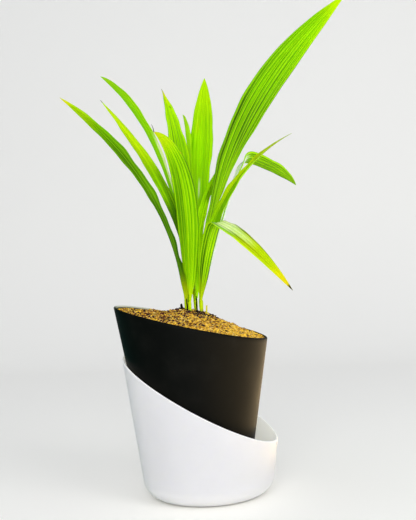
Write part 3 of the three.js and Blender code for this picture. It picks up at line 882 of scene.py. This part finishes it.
def fibre_paths(rng, count, length, knots, from_wall=0.002, from_shoot=0.0018, furthest=0.98):
    """Strands that wander over the coir, each bent by its own turn, some with sprung ends: their x, y, z,
    heading and thickness, with a row for each strand and a column for each of its knots."""
    x, y = soil_spots(rng, count, from_wall)
    kept = clear_of_shoots(x, y, 0.0025)
    x, y = x[kept], y[kept]
    count = len(x)
    span = length * rng.lognormal(0, 0.4, count)
    along = np.linspace(-0.5, 0.5, knots)
    heading = rng.uniform(0, 2 * np.pi, count)[:, None] + rng.normal(0, 1.4, count)[:, None] * along
    step = (span / (knots - 1))[:, None]
    x = x[:, None] + np.cumsum(step * np.cos(heading), 1)
    y = y[:, None] + np.cumsum(step * np.sin(heading), 1)
    inside = (way_out(x, y).max(1) < furthest) & clear_of_shoots(x, y, from_shoot).all(1)
    x, y, heading = x[inside], y[inside], heading[inside]
    count = len(x)
    sprung = rng.uniform(0, 1, (count, 1)) ** 4
    lift = rng.uniform(0.0001, 0.0004, (count, 1)) + 0.0011 * sprung * (2 * along) ** 2
    z = soil_top(x, y) + coir_relief(x, y) * 0.5 + lift
    thick = rng.uniform(0.00007, 0.00016, (count, 1)) * (1 - 0.5 * np.abs(2 * along))
    return x, y, z, heading, thick


def add_fibres(name, count, length, seed, finish, knots=6):
    """Coconut fibres: three-sided strands round their paths, with a triangle at each end."""
    rng = np.random.default_rng(seed)
    x, y, z, heading, thick = fibre_paths(rng, count, length, knots)
    count = len(x)
    strands = []
    for side in range(3):
        turn = 2 * np.pi * side / 3
        sideways = thick * np.cos(turn)
        upwards = thick * np.sin(turn)
        strand = (x - sideways * np.sin(heading), y + sideways * np.cos(heading), z + upwards)
        strands.append(np.stack(strand, -1))
    vertices = np.stack(strands, 2)
    quads, _ = ring_faces(knots, 3)
    last = 3 * (knots - 1)
    caps = np.array([(2, 1, 0), (last, last + 1, last + 2)])
    offsets = 3 * knots * np.arange(count)[:, None, None]
    quads = (quads + offsets).reshape(-1, 4)
    caps = (caps + offsets).reshape(-1, 3)
    return add_mesh(name, vertices.reshape(-1, 3), quads, caps, finish)


def coir_finish(name, dark, light):
    """Rough fibrous matter, its colour varying from crumb to crumb."""
    finish = Finish(name, Specular_IOR_Level=0.1)
    place = finish.place()
    speckle = finish.noise(place, 900.0, 4.0, 0.65)
    finish.colour(finish.blend(speckle.step(0.35, 0.65), dark, light))
    finish.rough(0.85 + 0.1 * speckle)
    finish.bump(speckle, 0.0004)
    return finish


def plain_finish(name, colour, rough, specular=0.15):
    """One colour and roughness, for tiny crumbs and strands."""
    finish = Finish(name, Specular_IOR_Level=specular)
    finish.colour(colour)
    finish.rough(rough)
    return finish


# Leaves

def unkinked_frame(leaf, share):
    """The directions of the leaf's length, its width and its upper face at shares of its length, before
    any kink: the width level across the heading, then both turned about the length by roll and twist."""
    tilt = np.radians(leaf["lean"] + leaf["bend"] * share ** leaf["hook"])
    heading = np.radians(leaf["azimuth"] + leaf["swing"] * share)
    flat = np.sin(tilt)
    forward = np.stack((flat * np.cos(heading), flat * np.sin(heading), np.cos(tilt)), -1)
    side = np.stack((-np.sin(heading), np.cos(heading), 0 * heading), -1)
    face = np.cross(forward, side)
    turn = np.radians(leaf["roll"] + leaf["twist"] * share)[:, None]
    cos, sin = np.cos(turn), np.sin(turn)
    return np.stack((forward, side * cos + face * sin, face * cos - side * sin))


def leaf_frame(leaf, share):
    """The same with the kink, which turns all three about its crease by kink times an S-curve of the way
    through kink_span."""
    axes = unkinked_frame(leaf, share)
    if "kink" not in leaf:
        return axes
    forward, side, _ = unkinked_frame(leaf, np.array([leaf["kink_at"]]))[:, 0]
    slant = np.radians(leaf["slant"])
    crease = side * np.cos(slant) + forward * np.sin(slant)
    way = (share - leaf["kink_at"]) / leaf["kink_span"] + 0.5
    turn = np.radians(leaf["kink"]) * smooth_step(way)[:, None]
    level = (axes @ crease)[..., None] * crease
    return level + (axes - level) * np.cos(turn) + np.cross(crease, axes) * np.sin(turn)


def leaf_foot(leaf):
    """The point that the leaf stands on: level with its shoot's top, spread off the axis towards spot."""
    shoot = SHOOTS[leaf["shoot"]]
    spread = leaf.get("spread", LEAF["spread"])
    spot = np.radians(leaf["spot"])
    return np.array((shoot["x"] + spread * np.cos(spot), shoot["y"] + spread * np.sin(spot), shoot["top"]))


def leaf_line(leaf, stations):
    """Points along the leaf's middle line: each step follows the direction halfway between stations.
    Near the foot they draw in towards the shoot's axis, so that the stalks of a shoot meet."""
    halfway = (np.arange(stations) + 0.5) / stations
    steps = leaf_frame(leaf, halfway)[0] * leaf["length"] / stations
    foot = leaf_foot(leaf)
    line = foot + np.concatenate((np.zeros((1, 3)), np.cumsum(steps, 0)))
    shoot = SHOOTS[leaf["shoot"]]
    inwards = np.array((shoot["x"], shoot["y"], foot[2])) - foot
    reach = np.linspace(0, 1, stations + 1)[:, None] * leaf["length"] / LEAF["parting"]
    return line + LEAF["draw_in"] * inwards * (1 - smooth_step(reach))


def leaf_half_width(leaf, share):
    """Half the blade's width: the stalk, narrowing as a square root, and the blade's spindle shape on it,
    (s/p)^a ((1−s)/(1−p))^t with its widest place at p."""
    peak = leaf["peak"]
    taper = LEAF["taper"]
    stalk = LEAF["stalk"] / 2 * np.sqrt(1 - share)
    out = taper * peak / (1 - peak)
    spindle = (share / peak) ** out * ((1 - share) / (1 - peak)) ** taper
    blade = (leaf["width"] / 2 - LEAF["stalk"] / 2 * np.sqrt(1 - peak)) * spindle
    return np.maximum(LEAF["tip_half"], stalk + blade)


def pleat_wave(across, pleats, sharp=0.96):
    """A zigzag from -1 to 1, with one valley and one ridge to each pleat. Its folds are the softer the
    further sharp is below 1."""
    return np.arcsin(sharp * np.cos(2 * np.pi * pleats * across)) / np.arcsin(sharp)


def uneven(even, phase):
    """Even spacing across the blade moved by two sine waves that vanish at the edges, so that the widths of
    the pleats vary."""
    moved = 0.04 * np.sin(3 * np.pi * even + phase[4]) + 0.018 * np.sin(5.4 * np.pi * even + phase[5])
    return even + moved * (1 - even ** 2)


def margin_flutter(share, across, half, phase):
    """How far the margins wave: the cube of the way across times two sine waves along each edge."""
    margin = LEAF["flutter"] * np.minimum(1, half / 0.008) * np.abs(across) ** 3
    left = np.sin(31 * share + phase[0]) + 0.5 * np.sin(67 * share + phase[1])
    right = np.sin(28 * share + phase[2]) + 0.5 * np.sin(59 * share + phase[3])
    return margin * np.where(across < 0, left, right)


def half_thickness(share, across):
    """Half the blade's thickness: less towards the edges and the tip, and more near the foot."""
    thick = LEAF["half_thick"] * (1 - 0.6 * across ** 2) * np.minimum(1, 0.35 + 3 * (1 - share))
    return thick * (1 + 1.3 * np.maximum(0, 1 - share / 0.2))


def add_leaf(name, leaf, look, finish, stations=200, columns_per_pleat=8):
    """A blade as rings: across its upper face from edge to edge, then back across its lower face.

    A point across the blade at v from -1 to 1 lies at middle + side * half * v * cos(fold)
    + face * (half * |v| * sin(fold) + pleat + flutter), half the thickness above or below. The fold closes
    towards the foot, where the blade narrows too."""
    pleats = look["pleats"]
    columns = columns_per_pleat * pleats
    share = np.linspace(0, 1, stations + 1)
    middle = leaf_line(leaf, stations)
    _, side, face = leaf_frame(leaf, share)
    neck = LEAF["neck"]
    narrow = neck + (1 - neck) * smooth_step(share * leaf["length"] / LEAF["parting"])
    half = (leaf_half_width(leaf, share) * narrow)[:, None]
    share = share[:, None]
    rng = np.random.default_rng(int(name[-2:]))
    phase = rng.uniform(0, 2 * np.pi, 6)
    even = np.linspace(-1, 1, columns + 1)
    across = uneven(even, phase)
    fold = np.radians(LEAF["fold"] + LEAF["foot_fold"] * np.maximum(0, 1 - share / 0.25) ** 2)
    bent = np.sqrt(across ** 2 + LEAF["soft_fold"] ** 2)
    depth = LEAF["pleat_depth"] * np.minimum(1, half / LEAF["pleat_half"])
    pleat = depth * pleat_wave((even + 1) / 2, pleats)
    raised = half * bent * np.sin(fold) + pleat + margin_flutter(share, across, half, phase)
    centre = middle[:, None] + side[:, None] * (half * across * np.cos(fold))[..., None]
    thick = half_thickness(share, across)
    upper = centre + face[:, None] * (raised + thick)[..., None]
    lower = centre + face[:, None] * (raised - thick)[..., None]
    lower[:, 0] = upper[:, 0] = (upper[:, 0] + lower[:, 0]) / 2
    lower[:, -1] = upper[:, -1] = (upper[:, -1] + lower[:, -1]) / 2
    rings = np.concatenate((upper, lower[:, -2:0:-1]), 1)
    rings, along = add_stalk(leaf, middle[0], rings, share[:, 0])
    across_map = np.linspace(0, 2, 2 * columns + 1)
    return add_rings(name, rings, finish, ring_map=(across_map, along))


def add_stalk(leaf, foot, rings, along, rows=12):
    """Carries the leaf's foot on down into its shoot, on a curve from its own direction to the shoot's
    axis, narrowing a little. Its map runs on below zero."""
    shoot = SHOOTS[leaf["shoot"]]
    axis = np.array((shoot["x"], shoot["y"], foot[2]))
    root = axis + 0.3 * (foot - axis)
    root[2] = soil_top(root[0], root[1]) - SUNK_STALK
    reach = foot[2] - root[2]
    forward = leaf_frame(leaf, np.array([0.0]))[0, 0]
    bend = foot - forward * reach / 2
    way = np.linspace(0, 1, rows, endpoint=False)[:, None]
    line = (1 - way) ** 2 * root + 2 * way * (1 - way) * bend + way ** 2 * foot
    narrow = (0.85 + 0.15 * way)[..., None]
    section = rings[0] - foot
    stalk = line[:, None] + section * narrow
    below = (way[:, 0] - 1) * reach / leaf["length"]
    return np.concatenate((stalk, rings)), np.concatenate((below, along))


def add_thread(name, leaf, reach, finish, radius=0.00034, sides=6, rows=16):
    """A withered thread on from the leaf's tip, along a quadratic curve by the two reaches, thinning."""
    tip = leaf_line(leaf, 200)[-1]
    way = np.linspace(0, 1, rows)[:, None]
    line = tip + 2 * way * (1 - way) * np.array(reach[0]) + way ** 2 * np.array(reach[1])
    radii = radius * (1 - 0.6 * way)
    return add_rings(name, line[:, None] + round_rings(0, 0, radii, 0 * way, circle(sides)), finish)


def leaf_finish(name, leaf, look, patches, colours):
    """A leaf's greens by its own map: pleats with painted shade, one flank lighter and the other darker,
    and a painted highlight as a pale line along their ridge, fine veins, a yellow foot, and the patches
    that it has."""
    finish = Finish(
        name, Specular_IOR_Level=0.08, Specular_Tint=(0.35, 1.0, 0.1),
        Subsurface_Weight=0.4, Subsurface_Radius=(1.0, 1.0, 0.3), Subsurface_Scale=0.0006,
    )
    side, along = finish.map("blade")
    lower = side.step(0.999, 1.001)
    across = side.least(2.0 - side)
    turns = across * (2 * np.pi * look["pleats"])
    streaks = finish.noise(finish.point(across * 40.0, along * 2.2, leaf["spot"] / 7), 1.0, 1.0, 0.5)
    stretched = finish.point(across * look["stripes"], along * 1.2, leaf["spot"] / 5)
    stripes = finish.noise(stretched, 1.0, 3.0, 0.65).step(0.34, 0.66)
    cloud = finish.noise(finish.point(across * 2.5, along * 7.0, leaf["spot"] / 3), 1.0, 2.0)
    # Painted shade: one flank of each pleat is made lighter and the other darker, as the light falls on
    # them.
    painted_flank_shade = turns.sine() * (0.55 + 0.9 * cloud)
    ridge = (turns.cosine() * -0.5 + 0.5) ** 9.0
    valley = (turns.cosine() * 0.5 + 0.5) ** 5.0
    vein = (across * (2 * np.pi * 4 * look["pleats"])).sine() * 0.5 + 0.5
    tone = look["tone"] + look["slope"] * (across - 0.5)
    tone = tone + look["low"] * along.step(0.5, 0.05) + look["high"] * along.step(look["start"], 1.0)
    tone = tone + look["flank_shading"] * painted_flank_shade + (stripes - 0.5) * look["contrast"]
    tone = tone + (streaks - 0.5) * 0.5 + (cloud - 0.5) * 0.25 + (vein - 0.5) * 0.05
    colour = finish.blend(tone.step(-0.05, 0.5), colours["deep"], colours["green"])
    colour = finish.blend(tone.step(0.4, 1.0), colour, colours["lime"])
    colour = finish.blend(tone.step(0.95, 1.45), colour, colours["bright"])
    # Painted highlight: a pale line along each pleat's ridge. The rib's pale line along the middle is the
    # blade's own.
    rib = abs(across - 0.5).step(0.012, 0.003) * 0.5
    colour = finish.blend((ridge * look["lines"]).most(rib * look["lines"]), colour, colours["line"])
    colour = finish.blend(along.step(0.14, -0.01) * 0.9, colour, colours["foot"])
    wander = along + (streaks - 0.5) * 0.04
    for place in patches:
        amount = across.window(*place["across"]) * wander.window(*place["along"]) * place["strength"]
        if place["striped"]:
            amount = amount * (1.0 - valley * place["striped"])
        if place["face"] is not None:
            amount = amount * (lower if place["face"] else 1.0 - lower)
        colour = finish.blend(amount, colour, colours[place["colour"]])
    finish.colour(colour)
    finish.rough(0.45 + 0.2 * streaks)
    finish.bump(vein, 0.00002, 0.6)
    return finish


# Shoots and stubs

def add_sheath(name, shoot, finish, sides=48, rows=36):
    """A leaf sheath round a shoot: a thin tube that opens in a slanted mouth, its wall turned back inside,
    with shallow ribs round it and one overlapping edge that winds up it."""
    foot = float(soil_top(shoot["x"], shoot["y"])) - SUNK_STUB
    top = shoot["top"] - SHEATH["below_top"]
    phase = np.random.default_rng(name_seed(name)).uniform(0, 2 * np.pi, 3)
    angle = circle(sides)
    climb = np.linspace(0, 1, rows)[:, None]
    mouth = top - SHEATH["slant"] * (0.5 + 0.5 * np.cos(angle - phase[0])) ** 2
    height = foot + (mouth - foot) * climb
    wind = (angle / (2 * np.pi) + SHEATH["winding"] * climb + phase[1]) % 1.0
    edge = SHEATH["edge"] * wind ** 3
    ribs = SHEATH["rib"] * np.cos(SHEATH["ribs"] * angle + phase[2])
    radius = SHEATH["foot"] + (SHEATH["mouth"] - SHEATH["foot"]) * climb + edge + ribs
    outside = round_rings(shoot["x"], shoot["y"], radius, height, angle)
    inside = round_rings(shoot["x"], shoot["y"], radius - SHEATH["wall"], height, angle)
    return add_rings(name, np.concatenate((outside, inside[::-1])), finish)


def sheath_finish(colours):
    """Yellow-green sheath with darker streaks up it, dry and brownish at the soil."""
    finish = Finish("sheath", Specular_IOR_Level=0.1, Specular_Tint=(0.6, 1.0, 0.1))
    x, y, z = finish.parts(finish.place())
    streaks = finish.noise(finish.point(x * 2600.0, y * 2600.0, z * 180.0), 1.0, 3.0, 0.6)
    colour = finish.blend(streaks.step(0.4, 0.75) * 0.6, colours["foot"], colours["lime"])
    dry = (z + (streaks - 0.5) * 0.003).step(0.1345, 0.131)
    colour = finish.blend(dry * 0.6, colour, colours["husk"])
    finish.colour(colour)
    finish.rough(0.5 + 0.2 * streaks)
    finish.bump(streaks, 0.0001)
    return finish


def add_stub(name, stub, finish, sides=20, rows=30):
    """A withered stalk: a tube from below the surface, with a ragged top. It leans by the square of the
    way up it and narrows evenly, and small waves crumple it."""
    foot = float(soil_top(stub["x"], stub["y"])) - SUNK_STUB
    top = foot + SUNK_STUB + stub["height"]
    angle = circle(sides)
    climb = np.linspace(0, 1, rows)[:, None]
    crumple = waves(angle * 0.0012, climb * 0.004, 0.002, 8, name_seed(name))
    radius = stub["radius"] * (1 - 0.4 * climb) * (1 + 0.16 * crumple)
    x = stub["x"] + stub["lean"] * climb ** 2
    z = foot + (top - foot) * climb + 0.0004 * climb * crumple
    return add_rings(name, round_rings(x, stub["y"], radius, z, angle), finish)


# Settings

def shade(name, description, value):
    """A colour that the user may change."""
    return bpy.props.FloatVectorProperty(
        name=name, description=description, default=value, subtype="COLOR", min=0, max=1,
    )


class PotColours(bpy.types.PropertyGroup):
    """Finish of the two pots."""

    white: shade("Outer pot", "Colour of the outer pot's plastic", (0.865, 0.855, 0.815))
    black: shade("Grow pot", "Colour of the grow pot's plastic", (0.0026, 0.003, 0.0026))
    dust: shade("Dust", "Colour of the dust film on the grow pot", (0.02, 0.019, 0.016))
    # A painted highlight along the top of the grow pot's rim.
    rim_highlight: shade("Painted rim highlight", "Colour of the highest part of the grow pot's rim", (0.68, 0.70, 0.60))


class CoirSettings(bpy.types.PropertyGroup):
    """What the grow pot is filled with."""

    crumbs: bpy.props.IntProperty(
        name="Crumbs", description="Number of pale crumbs strewn on the coir",
        default=5200, min=100, max=14000,
    )
    crumb_length: bpy.props.FloatProperty(
        name="Crumb length", description="Usual length of a crumb",
        default=0.0018, unit="LENGTH", min=0.0005, max=0.004,
    )
    fibres: bpy.props.IntProperty(
        name="Fibres", description="Number of loose coconut fibres",
        default=1500, min=0, max=4000,
    )


class LeafColours(bpy.types.PropertyGroup):
    """The greens and the withered colours of the leaves."""

    deep: shade("Deep green", "Darkest green of a blade", (0.030, 0.120, 0.002))
    green: shade("Green", "Middle green of a blade", (0.165, 0.43, 0.001))
    lime: shade("Lime", "Brightest green of a blade", (0.355, 0.69, 0.001))
    bright: shade("Yellow-green", "Yellowest green of a blade", (0.58, 0.82, 0.003))
    line: shade("Ridge line", "Pale green of the ridge lines and the rib", (0.50, 0.80, 0.012))
    foot: shade("Foot", "Yellow-green of the stalks", (0.52, 0.68, 0.003))
    straw: shade("Straw", "Yellow of the ageing tips and margins", (0.68, 0.64, 0.004))
    rust: shade("Rust", "Orange of the flecks and one tip", (0.75, 0.36, 0.005))
    olive: shade("Olive", "Dull brownish green of a thin tip", (0.27, 0.33, 0.006))
    fresh: shade("Fresh green", "Cool bright green of a blade", (0.22, 0.60, 0.002))
    # The next three colours are painted light: a blade's green as if lit through it, a whitish painted
    # highlight and a grey-green painted sheen.
    painted_backlit_green: shade("Lit green", "Green of a blade that the light shines through", (0.43, 0.87, 0.002))
    pale: shade("Pale", "Whitish green where a blade shines", (0.70, 0.82, 0.38))
    painted_sheen: shade("Silver", "Cool grey-green of a shining upper face", (0.82, 0.94, 0.76))
    brown: shade("Withered tip", "Brown of the withered tips", (0.03, 0.018, 0.01))
    husk: shade("Dry sheath", "Brown of a dry sheath at the soil", (0.22, 0.13, 0.03))


class StudioSettings(bpy.types.PropertyGroup):
    """The floor and the lights."""

    paper: shade("Backdrop", "Colour of the floor and the backdrop", (0.94, 0.935, 0.92))
    key_power: bpy.props.FloatProperty(
        name="Key light", description="Power of the big soft light at the right",
        default=3.2, unit="POWER", min=0,
    )
    front_power: bpy.props.FloatProperty(
        name="Front light", description="Power of the wide light above the camera",
        default=9.0, unit="POWER", min=0,
    )
    sky: bpy.props.FloatProperty(
        name="Surround", description="Strength of the even light from all round",
        default=0.69, min=0,
    )


def leaf_colours():
    """The leaf colours as plain tuples by name."""
    group = bpy.context.scene.palm_leaves
    return {name: tuple(getattr(group, name)) for name in LeafColours.__annotations__}


# Steps

class PALM_OT_pots(bpy.types.Operator):
    """Build the white outer pot, the black grow pot and its feet"""

    bl_idname = "palm.pots"
    bl_label = "Pots"

    def execute(self, context):
        colours = context.scene.palm_pots
        white = white_plastic(tuple(colours.white))
        black = black_plastic(tuple(colours.black), tuple(colours.dust), tuple(colours.rim_highlight))
        settle(add_pot("outer_pot_shell", OUTER_POT, white), "outer_pot", "outer_pot")
        grow_pot = add_pot("grow_pot_shell", INNER_POT, black)
        low = INNER_POT["bottom"] - INNER_POT["floor"]
        high = INNER_POT["bottom"] + 2 * INNER_POT["floor"]
        radius = DRAINS["radius"]
        for x, y in zip(*ring_places(DRAINS)):
            cut(grow_pot, add_peg("drain", x, y, low, high, radius, radius / 10, black))
        settle(grow_pot, "inner_pot", "inner_pot")
        stand = OUTER_POT["bottom"] + OUTER_POT["floor"] + GAP
        reach = INNER_POT["bottom"] - GAP
        for number, (x, y) in enumerate(zip(*ring_places(FEET)), 1):
            name = f"grow_pot_foot_{number}"
            foot = add_peg(name, x, y, stand, reach, FEET["radius"], FEET["bevel"], black)
            settle(foot, "inner_pot", f"inner_pot_foot_{number}")
        return {"FINISHED"}


class PALM_OT_coir(bpy.types.Operator):
    """Fill the grow pot with coir and strew it with crumbs, chips and fibres"""

    bl_idname = "palm.coir"
    bl_label = "Coir"

    def execute(self, context):
        settings = context.scene.palm_coir
        bed = coir_finish("coir", (0.19, 0.08, 0.02), (0.70, 0.40, 0.038))
        settle(add_soil_bed(bed), "soil", "soil")
        length = settings.crumb_length
        for seed, (name, kind) in enumerate(STREWN.items(), 21):
            finish = plain_finish(name, kind["colour"], 0.9)
            count = int(kind["share"] * settings.crumbs)
            size = kind["length"] * length
            settle(add_chips(name, count, size, seed, finish, None, kind["leftwards"]), "soil")
        dark = plain_finish("coir_clods", (0.022, 0.009, 0.012), 0.9)
        tan = plain_finish("coir_clod_tan", (0.42, 0.20, 0.03), 0.9)
        for seed, (name, clod) in enumerate(CLODS.items(), 31):
            finish = tan if name in TAN_CLODS else dark
            settle(add_chips(name, clod["count"], length, seed, finish, clod), "soil")
        straw = plain_finish("coir_fibre", (0.74, 0.50, 0.14), 0.8)
        settle(add_fibres("coir_fibres_straw", settings.fibres, 0.005, 27, straw), "soil")
        umber = plain_finish("coir_fibre_dark", (0.16, 0.075, 0.03), 0.8)
        settle(add_fibres("coir_fibres_umber", settings.fibres // 3, 0.004, 28, umber), "soil")
        return {"FINISHED"}


class PALM_OT_shoots(bpy.types.Operator):
    """Build the sheaths that the leaves stand in"""

    bl_idname = "palm.shoots"
    bl_label = "Shoots"

    def execute(self, context):
        finish = sheath_finish(leaf_colours())
        for name, shoot in SHOOTS.items():
            settle(add_sheath("sheath_" + name, shoot, finish), "shoot", "shoot_" + name)
        return {"FINISHED"}


class PALM_OT_leaves(bpy.types.Operator):
    """Build the twelve pleated leaves"""

    bl_idname = "palm.leaves"
    bl_label = "Leaves"

    def execute(self, context):
        colours = leaf_colours()
        for name, leaf in LEAVES.items():
            look = LOOKS[name]
            finish = leaf_finish("finish_" + name, leaf, look, PATCHES[name], colours)
            blade = add_leaf(name.replace("leaf", "blade"), leaf, look, finish)
            nodes = [name + "_stem", name + "_blade"] if "kink" in leaf else [name]
            settle(blade, "leaf", *nodes)
        withered = plain_finish("withered_tip", colours["brown"], 0.75)
        reach = ((-0.0004, 0.0002, 0.0026), (-0.0016, 0.0004, 0.0056))
        settle(add_thread("withered_thread", LEAVES["leaf_05"], reach, withered), "leaf")
        return {"FINISHED"}


class PALM_OT_stubs(bpy.types.Operator):
    """Build the withered sheaths and the cut stalk beside the shoots"""

    bl_idname = "palm.stubs"
    bl_label = "Withered stubs"

    def execute(self, context):
        withered = plain_finish("withered", (0.006, 0.005, 0.0045), 0.75, 0.05)
        for name in ("dead_sheath_left", "dead_sheath_front", "dead_stalk_right"):
            settle(add_stub("withered_" + name, STUBS[name], withered), "dead_sheath", name)
        cut_end = plain_finish("cut_stalk", (0.60, 0.55, 0.02), 0.5)
        settle(add_stub("stalk_stump", STUBS["cut_stalk"], cut_end), "cut_stalk", "cut_stalk")
        return {"FINISHED"}


# Studio

def camera_matrix():
    """The photograph's camera: it stands round the pot's axis, looks along its turn and tilt, and rolls."""
    turn, tilt, roll = CAMERA["turn"], CAMERA["tilt"], CAMERA["roll"]
    forward = Vector((np.sin(turn) * np.cos(tilt), np.cos(turn) * np.cos(tilt), -np.sin(tilt)))
    right = Vector((np.cos(turn), -np.sin(turn), 0))
    up = right.cross(forward)
    across = np.cos(roll) * right + np.sin(roll) * up
    upright = np.cos(roll) * up - np.sin(roll) * right
    matrix = Matrix((across, upright, -forward)).transposed().to_4x4()
    away, spot = CAMERA["away"], CAMERA["round"]
    matrix.translation = (away * np.sin(spot), -away * np.cos(spot), CAMERA["height"])
    return matrix


def add_camera(scene):
    """The photograph's camera, as the scene's own."""
    lens = bpy.data.cameras.new("camera")
    lens.lens = CAMERA["lens"]
    lens.sensor_width = CAMERA["sensor"]
    lens.clip_start = 0.01
    camera = bpy.data.objects.new("camera", lens)
    scene.collection.objects.link(camera)
    camera.matrix_world = camera_matrix()
    scene.camera = camera


def add_surround(scene, strength):
    """Even, slightly cool light from all round."""
    world = bpy.data.worlds.new("studio")
    world.use_nodes = True
    background = world.node_tree.nodes["Background"]
    background.inputs["Color"].default_value = (0.96, 0.98, 1.0, 1.0)
    background.inputs["Strength"].default_value = strength
    scene.world = world


def add_area_light(name, place, target, size, power, colour):
    """A round soft light at a place, turned to face its target."""
    light = bpy.data.lights.new(name, "AREA")
    light.shape = "DISK"
    light.size = size
    light.energy = power
    light.color = colour
    lamp = bpy.data.objects.new(name, light)
    bpy.context.scene.collection.objects.link(lamp)
    lamp.location = place
    lamp.rotation_euler = (Vector(target) - Vector(place)).to_track_quat("-Z", "Y").to_euler()


def add_backdrop(finish, columns=24):
    """A floor that sweeps up into a wall well behind the pot: flat, a quarter circle, then upright."""
    wall, sweep, near, top, half = 1.25, 0.35, -1.6, 2.2, 2.4
    turn = np.linspace(0, np.pi / 2, 24)
    flat = np.linspace(near, wall - sweep, 12, endpoint=False)
    y = np.concatenate((flat, wall - sweep + sweep * np.sin(turn), [wall]))
    z = np.concatenate((np.zeros(12), sweep * (1 - np.cos(turn)), [top]))
    x = np.linspace(-half, half, columns)
    grid = np.stack(np.broadcast_arrays(x[None], y[:, None], z[:, None]), -1)
    row, column = np.meshgrid(np.arange(len(y) - 1), np.arange(columns - 1), indexing="ij")
    here = row * columns + column
    quads = np.stack((here, here + 1, here + 1 + columns, here + columns), -1).reshape(-1, 4)
    backdrop = add_mesh("backdrop", grid.reshape(-1, 3), quads, np.zeros((0, 3), int), finish)


def add_card(name, corners, finish):
    """A flat card that only reflections see: it shapes the sheen on the black pot."""
    card = add_mesh(name, np.array(corners), np.arange(4)[None], np.zeros((0, 3), int), finish)
    card.visible_camera = card.visible_diffuse = card.visible_shadow = False
    card.visible_transmission = card.visible_volume_scatter = False


def add_cards():
    """A dark wall, side and floor at the left behind the pot, and a warm floor at its right."""
    left, right, front, back, top, low = -1.2, 0.05, -0.8, 1.15, 1.5, 0.001
    dark = Finish(
        "dark_card", Base_Color=(0.0, 0.0, 0.0), Specular_IOR_Level=0.0,
        Emission_Color=(0.1, 0.6, 0.48), Emission_Strength=0.3,
    )
    wall = ((right, back, 0.0), (left, back, 0.0), (left, back, top), (right, back, top))
    side = ((left, back, 0.0), (left, front, 0.0), (left, front, top), (left, back, top))
    floor = ((left, front, low), (-0.06, front, low), (right, back, low), (left, back, low))
    for name, corners in (("dark_wall", wall), ("dark_side", side), ("dark_floor", floor)):
        add_card(name, corners, dark)
    warm = Finish(
        "warm_card", Base_Color=(0.0, 0.0, 0.0), Specular_IOR_Level=0.0,
        Emission_Color=(1.0, 0.74, 0.42), Emission_Strength=6.0,
    )
    left, right, front, back = 0.09, 1.3, -0.3, 1.0
    floor = ((left, front, low), (right, front, low), (right, back, low), (left, back, low))
    add_card("warm_floor", floor, warm)


class PALM_OT_studio(bpy.types.Operator):
    """Set up the pale floor, the soft lights and the photograph's camera"""

    bl_idname = "palm.studio"
    bl_label = "Studio"

    def execute(self, context):
        scene = context.scene
        settings = scene.palm_studio
        add_backdrop(plain_finish("paper", tuple(settings.paper), 0.9, 0.0))
        middle = (0.0, 0.0, 0.17)
        front = settings.front_power
        key = settings.key_power
        add_area_light("front", (0.12, -1.25, 0.4), middle, 0.9, front, (1.0, 0.99, 0.97))
        add_area_light("key", (0.85, -0.6, 0.6), middle, 0.6, key, (1.0, 0.985, 0.96))
        add_cards()
        add_surround(scene, settings.sky)
        scene.view_settings.view_transform = "Standard"
        add_camera(scene)
        return {"FINISHED"}


STEPS = (PALM_OT_studio, PALM_OT_pots, PALM_OT_coir, PALM_OT_shoots, PALM_OT_leaves, PALM_OT_stubs)


class PALM_PT_panel(bpy.types.Panel):
    """The palm's settings and steps in the sidebar"""

    bl_label = "Potted palm"
    bl_idname = "PALM_PT_panel"
    bl_space_type = "VIEW_3D"
    bl_region_type = "UI"
    bl_category = "Palm"

    def draw(self, context):
        for group in GROUPS:
            box = self.layout.box()
            for name in GROUPS[group].__annotations__:
                box.prop(getattr(context.scene, group), name)
        for step in STEPS:
            self.layout.operator(step.bl_idname)


GROUPS = {
    "palm_pots": PotColours,
    "palm_coir": CoirSettings,
    "palm_leaves": LeafColours,
    "palm_studio": StudioSettings,
}


def register():
    """Registers the classes and gives every scene the settings."""
    for kind in (*GROUPS.values(), *STEPS, PALM_PT_panel):
        bpy.utils.register_class(kind)
    for name, group in GROUPS.items():
        setattr(bpy.types.Scene, name, bpy.props.PointerProperty(type=group))


def unregister():
    """Takes away what register adds."""
    for name in GROUPS:
        delattr(bpy.types.Scene, name)
    for kind in reversed((*GROUPS.values(), *STEPS, PALM_PT_panel)):
        bpy.utils.unregister_class(kind)


def main():
    """Builds the palm in its studio."""
    register()
    bpy.ops.palm.studio()
    bpy.ops.palm.pots()
    bpy.ops.palm.coir()
    bpy.ops.palm.shoots()
    bpy.ops.palm.leaves()
    bpy.ops.palm.stubs()


if __name__ == "__main__":
    main()
